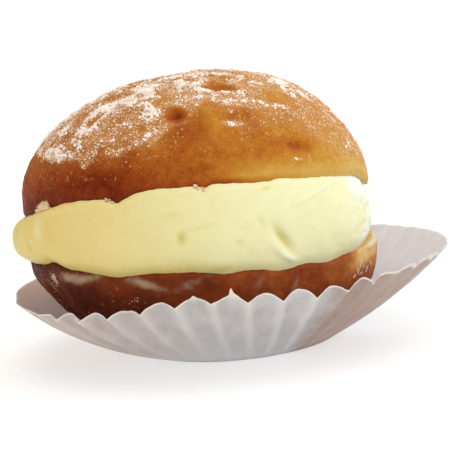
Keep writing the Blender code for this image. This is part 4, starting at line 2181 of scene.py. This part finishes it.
        # Painted shade in the troughs, weaker where the pleats are pressed flat
        trough = np.clip(flatter, 0.3, 1.0) * along**late
        # The painted rim highlight is broader at the ragged right front
        fringe = mix(0.985, 0.93, self.broad_rim_highlight.felt(angle))
        marks = self.tones(angle, along, upper) | {
            "trough": ease(wave, 0.15, 0.75) * ease(along, 0.0, 0.15) * trough,
            # painted shade along the front foot
            "foot": bell(along, 0.06) * ease(np.sin(angle), 0.2, -0.3) * (1.0 - upper),
            "rim": np.clip((along - fringe) / (1.0 - fringe), 0.0, 1.0),
            "tips": along_edge(self.creamy_tips, angle) / MM * ease(along, 0.93, 0.99),
        }
        return Shaped(places, marks)

    def build(self) -> bpy.types.Object:
        """Build and dress the case.

        Returns:
            The piece.
        """
        piece = make_piece("case", self.blank(), self.shape, CasePaper().material(), deg(75.0))
        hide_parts("paper_case")
        return piece


# ---- studio ---------------------------------------------------------------------------
@dataclass(frozen=True)
class SoftLight:
    """A wide, far light, as even as a window's or a white wall's.

    Attributes:
        name: Its name.
        source: Where it comes from, as a direction.
        spread: How wide it looks from the doughnut.
        strength: Its strength.
        colour: The colour of its light.
    """

    name: str
    source: Triple
    spread: float
    strength: float
    colour: Colour

    def hang(self) -> None:
        """Hang the light."""
        lamp = bpy.data.lights.new(self.name, "SUN")
        lamp.angle = self.spread
        lamp.energy = self.strength
        lamp.color = self.colour
        holder = bpy.data.objects.new(self.name, lamp)
        holder.rotation_euler = (-Vector(self.source)).to_track_quat("-Z", "Y").to_euler()
        bpy.context.scene.collection.objects.link(holder)


@dataclass
class Studio:
    """Pale floor, soft light and the camera at the photograph's angle."""

    # The photograph's width in pixels, how many millimetres one spans at the target, and
    # the width of the camera's sensor in millimetres
    picture: int = 453
    pixel: float = 0.2535
    sensor: float = 36.0
    target: Triple = (-0.75 * MM, 0.0, 28.94 * MM)
    distance: float = 0.380
    elevation: float = deg(8.47)
    roll: float = deg(6.06)
    floor_half: float = 6.0
    floor_grey: Colour = (0.52, 0.52, 0.52)
    floor_glow: float = 0.55
    # Strength of the room's light: level with the doughnut, and more from the right and above
    sky: float = 0.66
    sky_side: float = 0.16
    sky_above: float = 0.10
    sky_left: Colour = (1.0, 0.88, 0.74)
    sky_right: Colour = (0.97, 0.99, 1.0)
    lights: tuple[SoftLight, ...] = (
        SoftLight("window", (0.75, -0.45, 0.5), deg(50.0), 0.55, (0.97, 0.98, 1.0)),
        SoftLight("ceiling", (0.1, 0.0, 0.95), deg(70.0), 0.95, (1.0, 0.99, 0.98)),
        SoftLight("behind", (0.6, 0.7, 0.35), deg(50.0), 0.5, (1.0, 1.0, 1.0)),
    )

    def camera(self) -> None:
        """Place the camera, rolled as the photograph is."""
        level, rise = math.cos(self.elevation), math.sin(self.elevation)
        back = Vector((0.0, -level, rise))
        right = Vector((1.0, 0.0, 0.0))
        up = back.cross(right)
        turn, tip = math.cos(self.roll), math.sin(self.roll)
        axes = Matrix((right * turn - up * tip, right * tip + up * turn, back)).transposed()
        eye = bpy.data.cameras.new("camera")
        eye.sensor_width = self.sensor
        eye.lens = self.sensor * self.distance / (self.picture * self.pixel * MM)
        eye.clip_start, eye.clip_end = 0.01, 20.0
        holder = bpy.data.objects.new("camera", eye)
        spot = Matrix.Translation(Vector(self.target) + back * self.distance)
        holder.matrix_world = spot @ axes.to_4x4()
        bpy.context.scene.collection.objects.link(holder)
        bpy.context.scene.camera = holder

    def floor(self) -> None:
        """Lay a wide pale floor."""
        sheet = bmesh.new()
        bmesh.ops.create_grid(sheet, x_segments=2, y_segments=2, size=self.floor_half)
        mesh = bpy.data.meshes.new("floor")
        sheet.to_mesh(mesh)
        sheet.free()
        cover = Dresser("pale_floor")
        mesh.materials.append(
            cover.done(
                Base_Color=self.floor_grey,
                Roughness=0.9,
                Specular_IOR_Level=0.0,
                Emission_Color=WHITE,
                Emission_Strength=self.floor_glow,
            )
        )
        piece = bpy.data.objects.new("floor", mesh)
        bpy.context.scene.collection.objects.link(piece)

    def room(self) -> None:
        """Light the room: white to look at, dimmer and warmer from the left and below."""
        world = bpy.data.worlds.new("room")
        world.use_nodes = True
        board = Board(world.node_tree)
        seen = board.wire(board.node("ShaderNodeLightPath"), "Is Camera Ray")
        facing = board.wire(board.node("ShaderNodeTexCoord"), "Generated")
        split = board.node("ShaderNodeSeparateXYZ", sockets={0: facing})
        side, above = board.wire(split, "X"), board.wire(split, "Z")
        lit = side * self.sky_side + above * self.sky_above + self.sky
        rightness = (side * 0.5 + 0.5 + seen).within()
        colour = board.blend(rightness, self.sky_left, self.sky_right)
        sockets = {
            "Color": board.blend(seen, colour, WHITE),
            "Strength": seen * (1.0 - lit) + lit,
        }
        board.feed(world.node_tree.nodes["Background"], sockets)
        bpy.context.scene.world = world

    def build(self) -> None:
        """Set up the studio."""
        self.camera()
        self.floor()
        self.room()
        for light in self.lights:
            light.hang()
        view = bpy.context.scene.view_settings
        view.view_transform = "Standard"
        view.look = "None"


def report(piece: bpy.types.Object) -> None:
    """Log a finished piece with its number of triangles."""
    triangles = sum(len(face.vertices) - 2 for face in piece.data.polygons)
    LOG.info("%s: %d triangles", piece.name, triangles)


def main() -> None:
    """Build the studio and every piece, in order."""
    logging.basicConfig(level=logging.INFO, format="%(name)s: %(message)s")
    Studio().build()
    form = DoughnutForm()
    report(PaperCase().build())
    report(LowerHalf(form).build())
    report(Cream(form).build())
    upper = UpperHalf(form).build()
    report(upper)
    for piece in Sugar(upper).build():
        report(piece)
    report(Crumbs(form).build())


if __name__ == "__main__":
    main()
